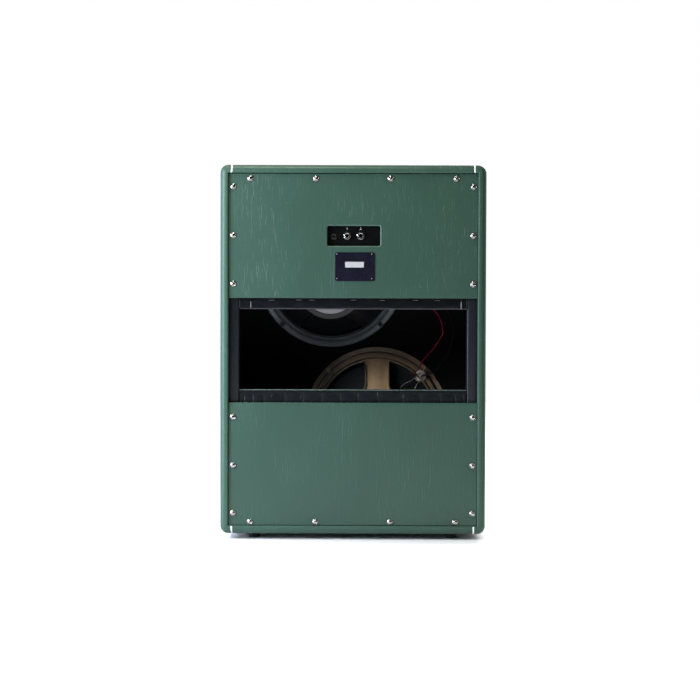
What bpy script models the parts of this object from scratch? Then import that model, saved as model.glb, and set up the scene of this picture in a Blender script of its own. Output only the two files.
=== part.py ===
"""Open-back guitar speaker cabinet for two 12-inch drivers, with a leaned-back upper front.

Metres, +Z up. The front (grille) faces -Y and the open back faces +Y. The origin is the centre of the bounding box at
the bottoms of the feet.
"""

import math

import bmesh
import bpy
from mathutils import Matrix, Vector

# Carcass
WIDTH = 0.510
BODY_HEIGHT = 0.708
DEPTH = 0.340  # at the bottom board
BOARD = 0.016  # plywood with its vinyl
CORNER_R = 0.0125
LEAN = math.radians(13.0)  # of the upper front
FIT = 0.0003  # gap between neighbouring pieces

# Feet
FOOT_HEIGHT = 0.011
FOOT_R = 0.0122
FOOT_X = 0.192
FOOT_Y = 0.125

# Front: depths are measured squarely in from the front edge of the carcass
CLOTH_AT = (0.0050, 0.0060)
GRILLE_AT = (0.0063, 0.0183)
BAFFLE_AT = (0.0186, 0.0366)
INNER_BEND_Z = 0.366  # where the rear faces of the two baffle boards meet
GRILLE_HALF_WIDTH = 0.2365
GRILLE_RAIL = 0.022

# Back panels and what they screw to
PANEL = 0.012
PANEL_RECESS = 0.004
PANEL_HALF_WIDTH = 0.2378
UPPER_PANEL_Z = (0.4639, 0.7018)
LOWER_PANEL_Z = (0.0282, 0.2632)
BATTEN_WIDTH = 0.019
BATTEN_DEPTH = 0.030
CROSS_BATTEN = 0.020
OPENING_BATTEN_DEPTH = 0.018
UPPER_OPENING_BATTEN_Z = (0.4428, 0.4850)
LOWER_OPENING_BATTEN_Z = (0.2430, 0.2882)

# Panel screws, with their cup washers
SCREW_HEAD_R = 0.0062
SCREW_HEAD_H = 0.0032
SCREW_R = 0.0020
SCREW_LENGTH = 0.032
SCREW_HOLE_R = 0.0024
SCREW_ROW_X = (-0.1970, -0.0715, 0.0715, 0.1970)
SCREW_COLUMN_X = 0.2300
UPPER_ROW_Z = 0.6927
UPPER_COLUMN_Z = (0.6770, 0.5837, 0.4908)
LOWER_ROW_Z = 0.0340
LOWER_COLUMN_Z = (0.2356, 0.1429, 0.0507)

# White piping let into the top and bottom boards
PIPING_X = 0.2330
PIPING = 0.0030
PIPING_DEEP = 0.0015
PIPING_PROUD = 0.0004

# Jack plate, seen through a cut-out in the upper panel
CUTOUT = (0.1018, 0.0386)
CUTOUT_CENTRE = (-0.0010, 0.5832)
CUTOUT_R = 0.003
JACK_PLATE = (0.1160, 0.0530)
JACK_PLATE_T = 0.0015
JACK_1 = (0.0119, 0.5843)
JACK_2 = (-0.0140, 0.5843)
JACK_BORE_R = 0.00325
JACK_BUSH_R = 0.0047
JACK_NUT_R = 0.0072
JACK_NUT_T = 0.0033
JACK_BODY = (0.0170, 0.0250)  # across, and deep behind the plate
DC_SOCKET = (0.0374, 0.5823)
DC_SIZE = (0.0090, 0.0105, 0.0140)

# Rating plate on the upper panel
RATING_PLATE = (0.0760, 0.0550)
RATING_PLATE_T = 0.0008
RATING_PLATE_CENTRE = (-0.0033, 0.5242)
RATING_PLATE_R = 0.004

# Drivers: radii, and depths behind the baffle's rear face
BAFFLE_HOLE_R = 0.1415
FLANGE_R = 0.1530
DRIVER_FROM_BEND = 0.1535
UPPER_DRIVER_X = 0.047
LOWER_DRIVER_X = -0.050
SHEET = 0.0018
SEAT_R = 0.1280
SEAT_AT = 0.0113
WINDOW_R = 0.0650
WINDOW_AT = 0.0742
CUP_R = 0.0580
CUP_AT = 0.0812
CUP_HOLE_R = 0.0300
SPOKES = 4
MAGNET_R = 0.0680
BACK_PLATE_R = 0.0565
MAGNET_REAR = 0.1224
POLE_R = 0.0200
GAP_R = 0.0245
COIL_R = (0.0213, 0.0228)
COIL_END = 0.1000
PAPER = 0.0012
CONE_RIM_R = 0.1375
TERMINAL_R = 0.0125
TERMINAL_AT = 0.1300

WIRE_R = 0.0013
TWIN_R = 0.0019

REAR = DEPTH / 2
FRONT = -DEPTH / 2
BOTTOM = FOOT_HEIGHT
TOP = FOOT_HEIGHT + BODY_HEIGHT
HALF = WIDTH / 2
INNER = HALF - BOARD
PANEL_REAR = REAR - PANEL_RECESS
PANEL_FRONT = PANEL_REAR - PANEL
BATTEN_REAR = PANEL_FRONT - FIT
OUTER_BEND_Z = INNER_BEND_Z + BAFFLE_AT[1] * math.tan(LEAN / 2)

for old in list(bpy.data.objects):
    bpy.data.objects.remove(old, do_unlink=True)


def material(name, colour, roughness, metallic=0.0):
    made = bpy.data.materials.new(name)
    made.use_nodes = True
    shader = made.node_tree.nodes["Principled BSDF"]
    shader.inputs["Base Color"].default_value = (*colour, 1.0)
    shader.inputs["Roughness"].default_value = roughness
    shader.inputs["Metallic"].default_value = metallic
    return made


VINYL = material("green_vinyl", (0.075, 0.160, 0.130), 0.55)
DARK_VINYL = material("dark_vinyl", (0.035, 0.040, 0.050), 0.50)
WHITE = material("white_piping", (0.80, 0.80, 0.76), 0.40)
WOOD = material("raw_plywood", (0.420, 0.290, 0.160), 0.75)
CHROME = material("nickel", (0.75, 0.75, 0.76), 0.22, 1.0)
BLACK_PLASTIC = material("black_plastic", (0.015, 0.016, 0.018), 0.45)
BLACK_METAL = material("black_plate", (0.018, 0.020, 0.022), 0.40, 0.3)
NAVY = material("rating_plate", (0.012, 0.016, 0.035), 0.35)
CLOTH = material("grille_cloth", (0.030, 0.030, 0.032), 0.90)
PAINTED = material("black_painted_plywood", (0.018, 0.020, 0.024), 0.60)
GREY_STEEL = material("grey_steel", (0.140, 0.150, 0.170), 0.40, 0.4)
TAN_STEEL = material("tan_steel", (0.380, 0.280, 0.180), 0.40, 0.2)
MAGNET = material("magnet", (0.180, 0.180, 0.190), 0.50, 0.3)
PAPER_CONE = material("paper_cone", (0.040, 0.045, 0.055), 0.85)
TERMINAL = material("terminal_board", (0.650, 0.600, 0.580), 0.60)
RUBBER = material("rubber", (0.020, 0.020, 0.021), 0.80)
RED = material("red_wire", (0.350, 0.020, 0.030), 0.45)
BLACK = material("black_wire", (0.015, 0.015, 0.016), 0.45)


def finish(bm, name, look, smooth=False, place=None):
    """Makes one object of a bmesh whose faces point out."""
    bmesh.ops.recalc_face_normals(bm, faces=bm.faces)
    mesh = bpy.data.meshes.new(name)
    bm.to_mesh(mesh)
    bm.free()
    mesh.materials.append(look)
    if smooth:
        mesh.shade_smooth()
        mesh.set_sharp_from_angle(angle=math.radians(35))
    made = bpy.data.objects.new(name, mesh)
    bpy.context.scene.collection.objects.link(made)
    if place is not None:
        made.matrix_world = place
    return made


def extruded(bm, outline, along, low, high):
    """Adds a prism to bm. The outline's two numbers are the two axes left when 'along' is taken out of XYZ."""

    def at(point, value):
        spots = {"X": (value, *point), "Y": (point[0], value, point[1]), "Z": (*point, value)}
        return Vector(spots[along])

    base = bm.faces.new([bm.verts.new(at(point, low)) for point in outline])
    grown = bmesh.ops.extrude_face_region(bm, geom=[base])
    shift = at((0.0, 0.0), high - low)
    bmesh.ops.translate(
        bm, vec=shift, verts=[g for g in grown["geom"] if isinstance(g, bmesh.types.BMVert)]
    )


def prism(name, outline, along, low, high, look):
    bm = bmesh.new()
    extruded(bm, outline, along, low, high)
    return finish(bm, name, look)


def rectangle(x0, x1, z0, z1):
    return [(x0, z0), (x1, z0), (x1, z1), (x0, z1)]


def rounded(cx, cz, width, height, radius, steps):
    """A rectangle's outline with round corners, anticlockwise."""
    points = []
    for sx, sz, start in ((1, -1, -90), (1, 1, 0), (-1, 1, 90), (-1, -1, 180)):
        for k in range(steps + 1):
            a = math.radians(start + 90 * k / steps)
            points.append(
                (
                    cx + sx * (width / 2 - radius) + radius * math.cos(a),
                    cz + sz * (height / 2 - radius) + radius * math.sin(a),
                )
            )
    return points


def spun(bm, profile, steps, ring=False):
    """Turns a profile of (radius, height) points about Z."""
    points = [bm.verts.new((r, 0.0, h)) for r, h in profile]
    edges = [bm.edges.new(pair) for pair in zip(points, points[1:])]
    if ring:
        edges.append(bm.edges.new((points[-1], points[0])))
    bmesh.ops.spin(
        bm,
        geom=points + edges,
        cent=(0, 0, 0),
        axis=(0, 0, 1),
        angle=2 * math.pi,
        steps=steps,
        use_merge=True,
    )
    bmesh.ops.remove_doubles(bm, verts=bm.verts, dist=1e-6)


def turned(name, profile, steps, look, place, ring=False):
    bm = bmesh.new()
    spun(bm, profile, steps, ring)
    return finish(bm, name, look, smooth=True, place=place)


def facing(origin, lean=0.0):
    """A frame whose Z points out of the back of the cabinet, leaned back by an angle, with X kept."""
    return Matrix.Translation(Vector(origin)) @ Matrix.Rotation(-(math.pi / 2 + lean), 4, "X")


def cut(target, cutter, how="DIFFERENCE"):
    cutter.hide_render = True
    cutter.display_type = "WIRE"
    step = target.modifiers.new(cutter.name, "BOOLEAN")
    step.operation = how
    step.solver = "EXACT"
    step.object = cutter


def holes(name, spots, radius, y0, y1, steps=10):
    """One cutter with a round bar along Y at each (x, z)."""
    bm = bmesh.new()
    for x, z in spots:
        extruded(
            bm,
            [
                (x + radius * math.cos(2 * math.pi * k / steps), z + radius * math.sin(2 * math.pi * k / steps))
                for k in range(steps)
            ],
            "Y",
            y0,
            y1,
        )
    return finish(bm, name, BLACK)


def front_point(depth, along):
    """(y, z) at a depth squarely behind the front, and a distance up (or down) from the bend."""
    y = FRONT + depth
    z = OUTER_BEND_Z - depth * math.tan(LEAN / 2)
    if along < 0:
        return (y, z + along)
    return (y + along * math.sin(LEAN), z + along * math.cos(LEAN))


def up_to(depth, z):
    """The distance along the front at which a depth line reaches height z."""
    bend = OUTER_BEND_Z - depth * math.tan(LEAN / 2)
    return z - bend if z < bend else (z - bend) / math.cos(LEAN)


# ---------------------------------------------------------------- carcass


def board_outline(low, high, round_top):
    """The XZ outline of the top or bottom board: full width, with its two outer corners round."""
    steps = 6
    arc = [(math.cos(math.radians(90 * k / steps)), math.sin(math.radians(90 * k / steps))) for k in range(steps + 1)]
    edge = high if round_top else low
    sign = 1 if round_top else -1
    right = [(HALF - CORNER_R + CORNER_R * c, edge - sign * CORNER_R + sign * CORNER_R * s) for c, s in arc]
    left = [(-x, z) for x, z in reversed(right)]
    flat = low if round_top else high
    return [(HALF, flat), *right, *left, (-HALF, flat)]


def front_at(z):
    """y of the carcass's front edge at height z."""
    return FRONT + max(0.0, z - OUTER_BEND_Z) * math.tan(LEAN)


def board(name, low, high, round_top):
    bm = bmesh.new()
    extruded(bm, board_outline(low, high, round_top), "Y", 0.0, REAR)
    for vert in bm.verts:
        if vert.co.y < REAR / 2:
            vert.co.y = front_at(vert.co.z)
    return finish(bm, name, VINYL)


top_board = board("top_board", TOP - BOARD, TOP, True)
bottom_board = board("bottom_board", BOTTOM, BOTTOM + BOARD, False)

side_low, side_high = BOTTOM + BOARD + FIT, TOP - BOARD - FIT
side_outline = [
    (REAR, side_low),
    (REAR, side_high),
    (front_at(side_high), side_high),
    (FRONT, OUTER_BEND_Z),
    (FRONT, side_low),
]
prism("left_side_board", side_outline, "X", INNER, HALF, VINYL)
prism("right_side_board", side_outline, "X", -HALF, -INNER, VINYL)


def piping_outline(proud, deep, outer, inner):
    """The YZ outline of a strip that runs front to back over a board and down both of its ends."""
    up = 1 if outer > inner else -1

    def corner(offset):
        # Offsets push the outer surface out, and the inner one in.
        z = outer + up * offset
        return [
            (REAR + offset, inner),
            (REAR + offset, z),
            (front_at(outer) - offset, z),
            (front_at(inner) - offset, inner),
        ]

    return corner(proud) + list(reversed(corner(-deep)))


for level, outer, inner, carrier in (
    ("top", TOP, TOP - BOARD, top_board),
    ("bottom", BOTTOM, BOTTOM + BOARD, bottom_board),
):
    for side, sign in (("left", 1), ("right", -1)):
        x = sign * PIPING_X
        end = inner + (0.0006 if outer > inner else -0.0006)
        strip = piping_outline(PIPING_PROUD, PIPING_DEEP, outer, end)
        prism(f"{level}_{side}_piping", strip, "X", x - PIPING / 2, x + PIPING / 2, WHITE)
        past = inner - (0.002 if outer > inner else -0.002)
        groove = piping_outline(0.002, PIPING_DEEP + FIT, outer, past)
        cutter = prism(
            f"{level}_{side}_groove", groove, "X", x - PIPING / 2 - FIT, x + PIPING / 2 + FIT, WHITE
        )
        cut(carrier, cutter)


def foot(name, x, y):
    turned(
        name,
        [
            (0.0, FOOT_HEIGHT - FIT),
            (FOOT_R, FOOT_HEIGHT - FIT),
            (FOOT_R - 0.0014, 0.0012),
            (FOOT_R - 0.0026, 0.0),
            (0.0048, 0.0),
            (0.0044, 0.0050),
            (0.0, 0.0050),
        ],
        20,
        RUBBER,
        Matrix.Translation((x, y, 0.0)),
    )


for end, y in (("rear", FOOT_Y), ("front", -FOOT_Y)):
    foot(f"{end}_left_foot", FOOT_X, y)
    foot(f"{end}_right_foot", -FOOT_X, y)

# ---------------------------------------------------------------- front


def baffle(name, low, high, x, centre, lean):
    """One baffle board, with its driver's hole."""
    near, far = BAFFLE_AT
    outline = [front_point(near, low(near)), front_point(far, low(far)), front_point(far, high(far)), front_point(near, high(near))]
    made = prism(name, outline, "X", -(INNER - FIT), INNER - FIT, PAINTED)
    bm = bmesh.new()
    spun(bm, [(0.0, -0.030), (BAFFLE_HOLE_R, -0.030), (BAFFLE_HOLE_R, 0.012), (0.0, 0.012)], 48)
    hole = finish(bm, f"{name}_hole", PAINTED, place=facing((x, *centre), lean))
    cut(made, hole)


UPPER_DRIVER = front_point(BAFFLE_AT[1], DRIVER_FROM_BEND)
LOWER_DRIVER = front_point(BAFFLE_AT[1], -DRIVER_FROM_BEND)

baffle(
    "upper_baffle_board",
    lambda depth: FIT,
    lambda depth: up_to(depth, TOP - BOARD - FIT),
    UPPER_DRIVER_X,
    UPPER_DRIVER,
    LEAN,
)
baffle(
    "lower_baffle_board",
    lambda depth: up_to(depth, BOTTOM + BOARD + FIT),
    lambda depth: -FIT,
    LOWER_DRIVER_X,
    LOWER_DRIVER,
    0.0,
)


def bent_sheet(name, depths, low, high, half_width, look):
    near, far = depths
    outline = [
        front_point(near, up_to(near, low)),
        front_point(far, up_to(far, low)),
        front_point(far, 0.0),
        front_point(far, up_to(far, high)),
        front_point(near, up_to(near, high)),
        front_point(near, 0.0),
    ]
    return prism(name, outline, "X", -half_width, half_width, look)


GRILLE_LOW, GRILLE_HIGH = BOTTOM + BOARD + 0.0025, TOP - BOARD - 0.0025
grille = bent_sheet("grille_frame", GRILLE_AT, GRILLE_LOW, GRILLE_HIGH, GRILLE_HALF_WIDTH, WOOD)
bm = bmesh.new()
window = GRILLE_HALF_WIDTH - GRILLE_RAIL
for z0, z1 in ((GRILLE_LOW + GRILLE_RAIL, INNER_BEND_Z - 0.010), (INNER_BEND_Z + 0.014, GRILLE_HIGH - GRILLE_RAIL)):
    extruded(bm, rectangle(-window, window, z0, z1), "Y", FRONT - 0.01, FRONT + 0.15)
cut(grille, finish(bm, "grille_windows", WOOD))
bent_sheet("grille_cloth", CLOTH_AT, GRILLE_LOW, GRILLE_HIGH, GRILLE_HALF_WIDTH, CLOTH)

# ---------------------------------------------------------------- back

row = {
    "upper": [(x, UPPER_ROW_Z) for x in SCREW_ROW_X],
    "lower": [(x, LOWER_ROW_Z) for x in SCREW_ROW_X],
}
column = {
    "upper": [(s * SCREW_COLUMN_X, z) for z in UPPER_COLUMN_Z for s in (1, -1)],
    "lower": [(s * SCREW_COLUMN_X, z) for z in LOWER_COLUMN_Z for s in (1, -1)],
}
pilot_low = BATTEN_REAR - 0.026

for side, sign in (("left", 1), ("right", -1)):
    edges = sorted((sign * (INNER - FIT), sign * (INNER - FIT - BATTEN_WIDTH)))
    batten = prism(
        f"{side}_rear_batten",
        rectangle(BATTEN_REAR - BATTEN_DEPTH, BATTEN_REAR, side_low, side_high),
        "X",
        *edges,
        DARK_VINYL,
    )
    spots = [spot for group in column.values() for spot in group if spot[0] * sign > 0]
    cut(batten, holes(f"{side}_batten_pilots", spots, SCREW_HOLE_R, pilot_low, REAR, 8))

BETWEEN = INNER - FIT - BATTEN_WIDTH - FIT
for name, z0, z1, spots in (
    ("top_rear_batten", side_high - CROSS_BATTEN, side_high, row["upper"]),
    ("bottom_rear_batten", side_low, side_low + CROSS_BATTEN, row["lower"]),
):
    batten = prism(name, rectangle(-BETWEEN, BETWEEN, z0, z1), "Y", BATTEN_REAR - BATTEN_DEPTH, BATTEN_REAR, DARK_VINYL)
    cut(batten, holes(f"{name}_pilots", spots, SCREW_HOLE_R, pilot_low, REAR, 8))

for name, (z0, z1) in (
    ("upper_opening_batten", UPPER_OPENING_BATTEN_Z),
    ("lower_opening_batten", LOWER_OPENING_BATTEN_Z),
):
    prism(name, rectangle(-BETWEEN, BETWEEN, z0, z1), "Y", BATTEN_REAR - OPENING_BATTEN_DEPTH, BATTEN_REAR, DARK_VINYL)

for level, (z0, z1) in (("upper", UPPER_PANEL_Z), ("lower", LOWER_PANEL_Z)):
    panel = prism(
        f"{level}_back_panel",
        rectangle(-PANEL_HALF_WIDTH, PANEL_HALF_WIDTH, z0, z1),
        "Y",
        PANEL_FRONT,
        PANEL_REAR,
        VINYL,
    )
    cut(panel, holes(f"{level}_panel_holes", row[level] + column[level], SCREW_HOLE_R, PANEL_FRONT - 0.004, REAR + 0.004))
    if level == "upper":
        bm = bmesh.new()
        extruded(bm, rounded(*CUTOUT_CENTRE, *CUTOUT, CUTOUT_R, 3), "Y", PANEL_FRONT - 0.004, REAR + 0.004)
        cut(panel, finish(bm, "jack_cutout", VINYL))


def screw(name, x, z):
    turned(
        name,
        [
            (0.0, SCREW_HEAD_H),
            (SCREW_HEAD_R * 0.62, SCREW_HEAD_H * 0.86),
            (SCREW_HEAD_R, FIT + 0.0004),
            (SCREW_HEAD_R, FIT),
            (SCREW_R, FIT),
            (SCREW_R, FIT - SCREW_LENGTH + 0.005),
            (0.0, FIT - SCREW_LENGTH),
        ],
        10,
        CHROME,
        facing((x, PANEL_REAR, z)),
    )


for level in ("upper", "lower"):
    for n, (x, z) in enumerate(sorted(row[level], reverse=True), 1):
        screw(f"{level}_panel_row_screw_{n}", x, z)
    for side, sign in (("left", 1), ("right", -1)):
        for n, (x, z) in enumerate([spot for spot in column[level] if spot[0] * sign > 0], 1):
            screw(f"{level}_panel_{side}_screw_{n}", x, z)

# ---------------------------------------------------------------- jack plate and rating plate

PLATE_FRONT = PANEL_FRONT - FIT - JACK_PLATE_T
PLATE_REAR = PANEL_FRONT - FIT
plate = prism(
    "jack_plate",
    rounded(*CUTOUT_CENTRE, *JACK_PLATE, 0.004, 2),
    "Y",
    PLATE_FRONT,
    PLATE_REAR,
    BLACK_METAL,
)
cut(plate, holes("jack_plate_holes", [JACK_1, JACK_2], JACK_BUSH_R + FIT, PLATE_FRONT - 0.01, PLATE_REAR + 0.01, 16))
bm = bmesh.new()
extruded(
    bm,
    rectangle(
        DC_SOCKET[0] - DC_SIZE[0] / 2 - FIT,
        DC_SOCKET[0] + DC_SIZE[0] / 2 + FIT,
        DC_SOCKET[1] - DC_SIZE[1] / 2 - FIT,
        DC_SOCKET[1] + DC_SIZE[1] / 2 + FIT,
    ),
    "Y",
    PLATE_FRONT - 0.01,
    PLATE_REAR + 0.01,
)
cut(plate, finish(bm, "dc_hole", BLACK_METAL))

for n, (x, z) in enumerate((JACK_1, JACK_2), 1):
    across, deep = JACK_BODY
    body = prism(
        f"jack_socket_{n}",
        rectangle(x - across / 2, x + across / 2, z - across / 2, z + across / 2),
        "Y",
        PLATE_FRONT - FIT - deep,
        PLATE_FRONT - FIT,
        BLACK_PLASTIC,
    )
    # Heights are measured out from the plate's rear face.
    bush = turned(
        f"jack_bush_{n}",
        [
            (0.0, -0.0060),
            (JACK_BUSH_R, -0.0060),
            (JACK_BUSH_R, FIT),
            (JACK_NUT_R, FIT),
            (JACK_NUT_R - 0.0006, JACK_NUT_T),
            (JACK_BUSH_R, JACK_NUT_T),
            (JACK_BUSH_R, JACK_NUT_T + 0.0008),
            (0.0, JACK_NUT_T + 0.0008),
        ],
        16,
        CHROME,
        facing((x, PLATE_REAR, z)),
    )
    cut(body, bush, "UNION")
    bore = turned(
        f"jack_bore_{n}",
        [(0.0, -0.0215), (JACK_BORE_R, -0.0215), (JACK_BORE_R, 0.010), (0.0, 0.010)],
        16,
        CHROME,
        facing((x, PLATE_REAR, z)),
    )
    cut(body, bore)

dc = prism(
    "dc_socket",
    rectangle(
        DC_SOCKET[0] - DC_SIZE[0] / 2,
        DC_SOCKET[0] + DC_SIZE[0] / 2,
        DC_SOCKET[1] - DC_SIZE[1] / 2,
        DC_SOCKET[1] + DC_SIZE[1] / 2,
    ),
    "Y",
    PLATE_REAR + 0.0008 - DC_SIZE[2],
    PLATE_REAR + 0.0008,
    BLACK_PLASTIC,
)
cut(
    dc,
    turned(
        "dc_bore",
        [(0.0010, -0.0090), (0.0031, -0.0090), (0.0031, 0.003), (0.0010, 0.003)],
        12,
        BLACK_PLASTIC,
        facing((DC_SOCKET[0], PLATE_REAR + 0.0008, DC_SOCKET[1])),
        ring=True,
    ),
)

prism(
    "rating_plate",
    rounded(*RATING_PLATE_CENTRE, *RATING_PLATE, RATING_PLATE_R, 3),
    "Y",
    PANEL_REAR + FIT,
    PANEL_REAR + FIT + RATING_PLATE_T,
    NAVY,
)

# ---------------------------------------------------------------- drivers


def pressed_frame(name, place, turn, look):
    """The pressed-steel frame: a flange, a step to the cone's seat, a cone of spokes and windows, and a rear cup."""
    around = 40
    half = SHEET / 2
    rows = [
        (FLANGE_R, FIT + half),
        (0.1404, FIT + half),
        (0.1392, SEAT_AT),
        (SEAT_R, SEAT_AT),
        ((SEAT_R + WINDOW_R) / 2, (SEAT_AT + WINDOW_AT) / 2),
        (WINDOW_R, WINDOW_AT),
        (CUP_R, CUP_AT),
        (CUP_HOLE_R, CUP_AT),
    ]
    bm = bmesh.new()
    grid = []
    for r, h in rows:
        ring = []
        for k in range(around):
            a = turn + 2 * math.pi * (k + 0.5) / around
            ring.append(bm.verts.new((r * math.cos(a), r * math.sin(a), h)))
        grid.append(ring)
    per = around // SPOKES
    for i in range(len(rows) - 1):
        for k in range(around):
            # Three cells in ten hold a spoke. The cell between points k and k + 1 is centred at k + 1.
            place_in_bay = (k + 1) % per
            if i in (3, 4) and place_in_bay not in (0, 1, per - 1):
                continue
            after = (k + 1) % around
            bm.faces.new((grid[i][k], grid[i + 1][k], grid[i + 1][after], grid[i][after]))
    loose = [vert for vert in bm.verts if not vert.link_faces]
    bmesh.ops.delete(bm, geom=loose, context="VERTS")
    made = finish(bm, name, look, smooth=True, place=place)
    thick = made.modifiers.new("sheet", "SOLIDIFY")
    thick.thickness = SHEET
    thick.offset = 0.0
    thick.use_even_offset = True
    thick.use_quality_normals = True
    return made


def driver(level, x, centre, lean, turn, look):
    place = facing((x, *centre), lean)
    pressed_frame(f"{level}_driver_frame", place, turn, look)
    top_plate = CUP_AT + SHEET / 2 + FIT
    magnet_at = top_plate + 0.007
    back_plate = MAGNET_REAR - 0.009
    turned(
        f"{level}_driver_magnet",
        [
            (GAP_R, top_plate),
            (0.0550, top_plate),
            (0.0550, magnet_at),
            (MAGNET_R, magnet_at),
            (MAGNET_R, back_plate),
            (BACK_PLATE_R, back_plate),
            (BACK_PLATE_R, MAGNET_REAR - 0.0015),
            (BACK_PLATE_R - 0.0015, MAGNET_REAR),
            (0.0060, MAGNET_REAR),
            (0.0060, 0.0800),
            (POLE_R, 0.0800),
            (POLE_R, back_plate),
            (0.0320, back_plate),
            (0.0320, magnet_at),
            (GAP_R, magnet_at),
        ],
        32,
        MAGNET,
        place,
        ring=True,
    )
    # The moving piece: the cone with its pleated edge, the dust cap, the spider and the voice coil's former. It is in
    # its rest place, and everything round it leaves it 3 mm of travel each way.
    turned(
        f"{level}_driver_cone",
        [
            (0.0, 0.0520),
            (0.0180, 0.0540),
            (0.0330, 0.0618),
            (0.1180, 0.0048),
            (0.1230, 0.0036),
            (0.1290, 0.0060),
            (CONE_RIM_R, 0.0044),
            (CONE_RIM_R, 0.0044 + PAPER),
            (0.1290, 0.0060 + PAPER),
            (0.1230, 0.0036 + PAPER),
            (0.1180, 0.0048 + PAPER),
            (COIL_R[1], 0.0700),
            (COIL_R[1], 0.0745),
            (0.0520, 0.0745),
            (0.0520, 0.0755),
            (COIL_R[1], 0.0755),
            (COIL_R[1], COIL_END),
            (COIL_R[0], COIL_END),
            (COIL_R[0], 0.0632),
            (0.0, 0.0560),
        ],
        32,
        PAPER_CONE,
        place,
    )
    beta = turn + math.radians(45.0) + math.pi
    turned(
        f"{level}_driver_terminal_board",
        [
            (0.0, 0.0),
            (TERMINAL_R, 0.0),
            (TERMINAL_R, 0.0042),
            (TERMINAL_R - 0.0015, 0.0056),
            (0.0, 0.0062),
        ],
        16,
        TERMINAL,
        place
        @ Matrix.Translation(
            (TERMINAL_AT * math.cos(beta), TERMINAL_AT * math.sin(beta), SEAT_AT + SHEET / 2 + FIT)
        ),
    )


driver("upper", UPPER_DRIVER_X, UPPER_DRIVER, LEAN, math.radians(-45.0), GREY_STEEL)
driver("lower", LOWER_DRIVER_X, LOWER_DRIVER, 0.0, 0.0, TAN_STEEL)

# ---------------------------------------------------------------- wires


def smooth_route(points, step):
    """Evenly spaced points on a smooth curve through the given ones."""
    ends = [2 * points[0] - points[1], *points, 2 * points[-1] - points[-2]]
    fine = []
    for a, b, c, d in zip(ends, ends[1:], ends[2:], ends[3:]):
        for k in range(24):
            t = k / 24
            fine.append(
                0.5
                * (
                    2 * b
                    + (c - a) * t
                    + (2 * a - 5 * b + 4 * c - d) * t * t
                    + (3 * b - a - 3 * c + d) * t * t * t
                )
            )
    fine.append(points[-1])
    length = sum((q - p).length for p, q in zip(fine, fine[1:]))
    count = max(2, round(length / step))
    out, walked, target = [fine[0]], 0.0, length / count
    for p, q in zip(fine, fine[1:]):
        span = (q - p).length
        while walked + span >= target - 1e-9 and len(out) < count:
            out.append(p.lerp(q, (target - walked) / span))
            target += length / count
        walked += span
    out.append(fine[-1])
    return out


def wire(name, route, radius, look):
    points = smooth_route([Vector(p) for p in route], radius * 6)
    data = bpy.data.curves.new(name, "CURVE")
    data.dimensions = "3D"
    line = data.splines.new("POLY")
    line.points.add(len(points) - 1)
    for spot, point in zip(line.points, points):
        spot.co = (*point, 1.0)
    data.bevel_depth = radius
    data.bevel_resolution = 2
    data.use_fill_caps = True
    data.materials.append(look)
    made = bpy.data.objects.new(name, data)
    bpy.context.scene.collection.objects.link(made)
    return made


JACK_REAR = PLATE_FRONT - FIT - JACK_BODY[1] - 0.0005

wire(
    "lower_driver_red_wire",
    [
        (JACK_1[0] - 0.004, JACK_REAR, 0.5800),
        (JACK_1[0] - 0.004, JACK_REAR - 0.010, 0.5800),
        (0.002, 0.104, 0.5750),
        (-0.030, 0.086, 0.5480),
        (-0.085, 0.068, 0.5020),
        (-0.132, 0.053, 0.4680),
        (-0.1609, 0.045, 0.4434),
        (-0.1754, 0.020, 0.4253),
        (-0.1830, -0.005, 0.4005),
        (-0.1798, -0.020, 0.3880),
        (-0.1646, -0.045, 0.3626),
        (-0.1491, -0.070, 0.3431),
        (-0.1353, -0.096, 0.3190),
        (-0.1300, -0.1100, 0.3090),
        (-0.1310, -0.1128, 0.3020),
    ],
    WIRE_R,
    RED,
)
wire(
    "lower_driver_black_wire",
    [
        (JACK_1[0] + 0.004, JACK_REAR, 0.5880),
        (JACK_1[0] + 0.004, JACK_REAR - 0.010, 0.5880),
        (0.010, 0.102, 0.5870),
        (-0.025, 0.078, 0.5640),
        (-0.085, 0.056, 0.5200),
        (-0.140, 0.040, 0.4860),
        (-0.1790, 0.030, 0.4560),
        (-0.2000, 0.004, 0.4200),
        (-0.2040, -0.026, 0.3860),
        (-0.1950, -0.056, 0.3500),
        (-0.1780, -0.084, 0.3220),
        (-0.1600, -0.104, 0.3090),
        (-0.1470, -0.1120, 0.3060),
        (-0.1430, -0.1128, 0.3020),
    ],
    WIRE_R,
    BLACK,
)
wire(
    "upper_driver_twin_wire",
    [
        (JACK_2[0], JACK_REAR, JACK_2[1]),
        (JACK_2[0], JACK_REAR - 0.010, JACK_2[1]),
        (-0.024, 0.102, 0.5820),
        (-0.050, 0.072, 0.5700),
        (-0.074, 0.030, 0.5640),
        (-0.088, -0.015, 0.5560),
        (-0.090, -0.052, 0.5380),
        (-0.083, -0.0735, 0.5200),
        (-0.081, -0.0772, 0.5120),
    ],
    TWIN_R,
    BLACK,
)
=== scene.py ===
"""Looks of the open-back guitar speaker cabinet: vinyl-wrapped shell and panels, hardware, drivers, wires, cloth.

Metres, +Z up, the open back towards +Y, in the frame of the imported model.
"""

import math
import random

import bmesh
import bpy
from mathutils import Matrix, Vector


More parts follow.
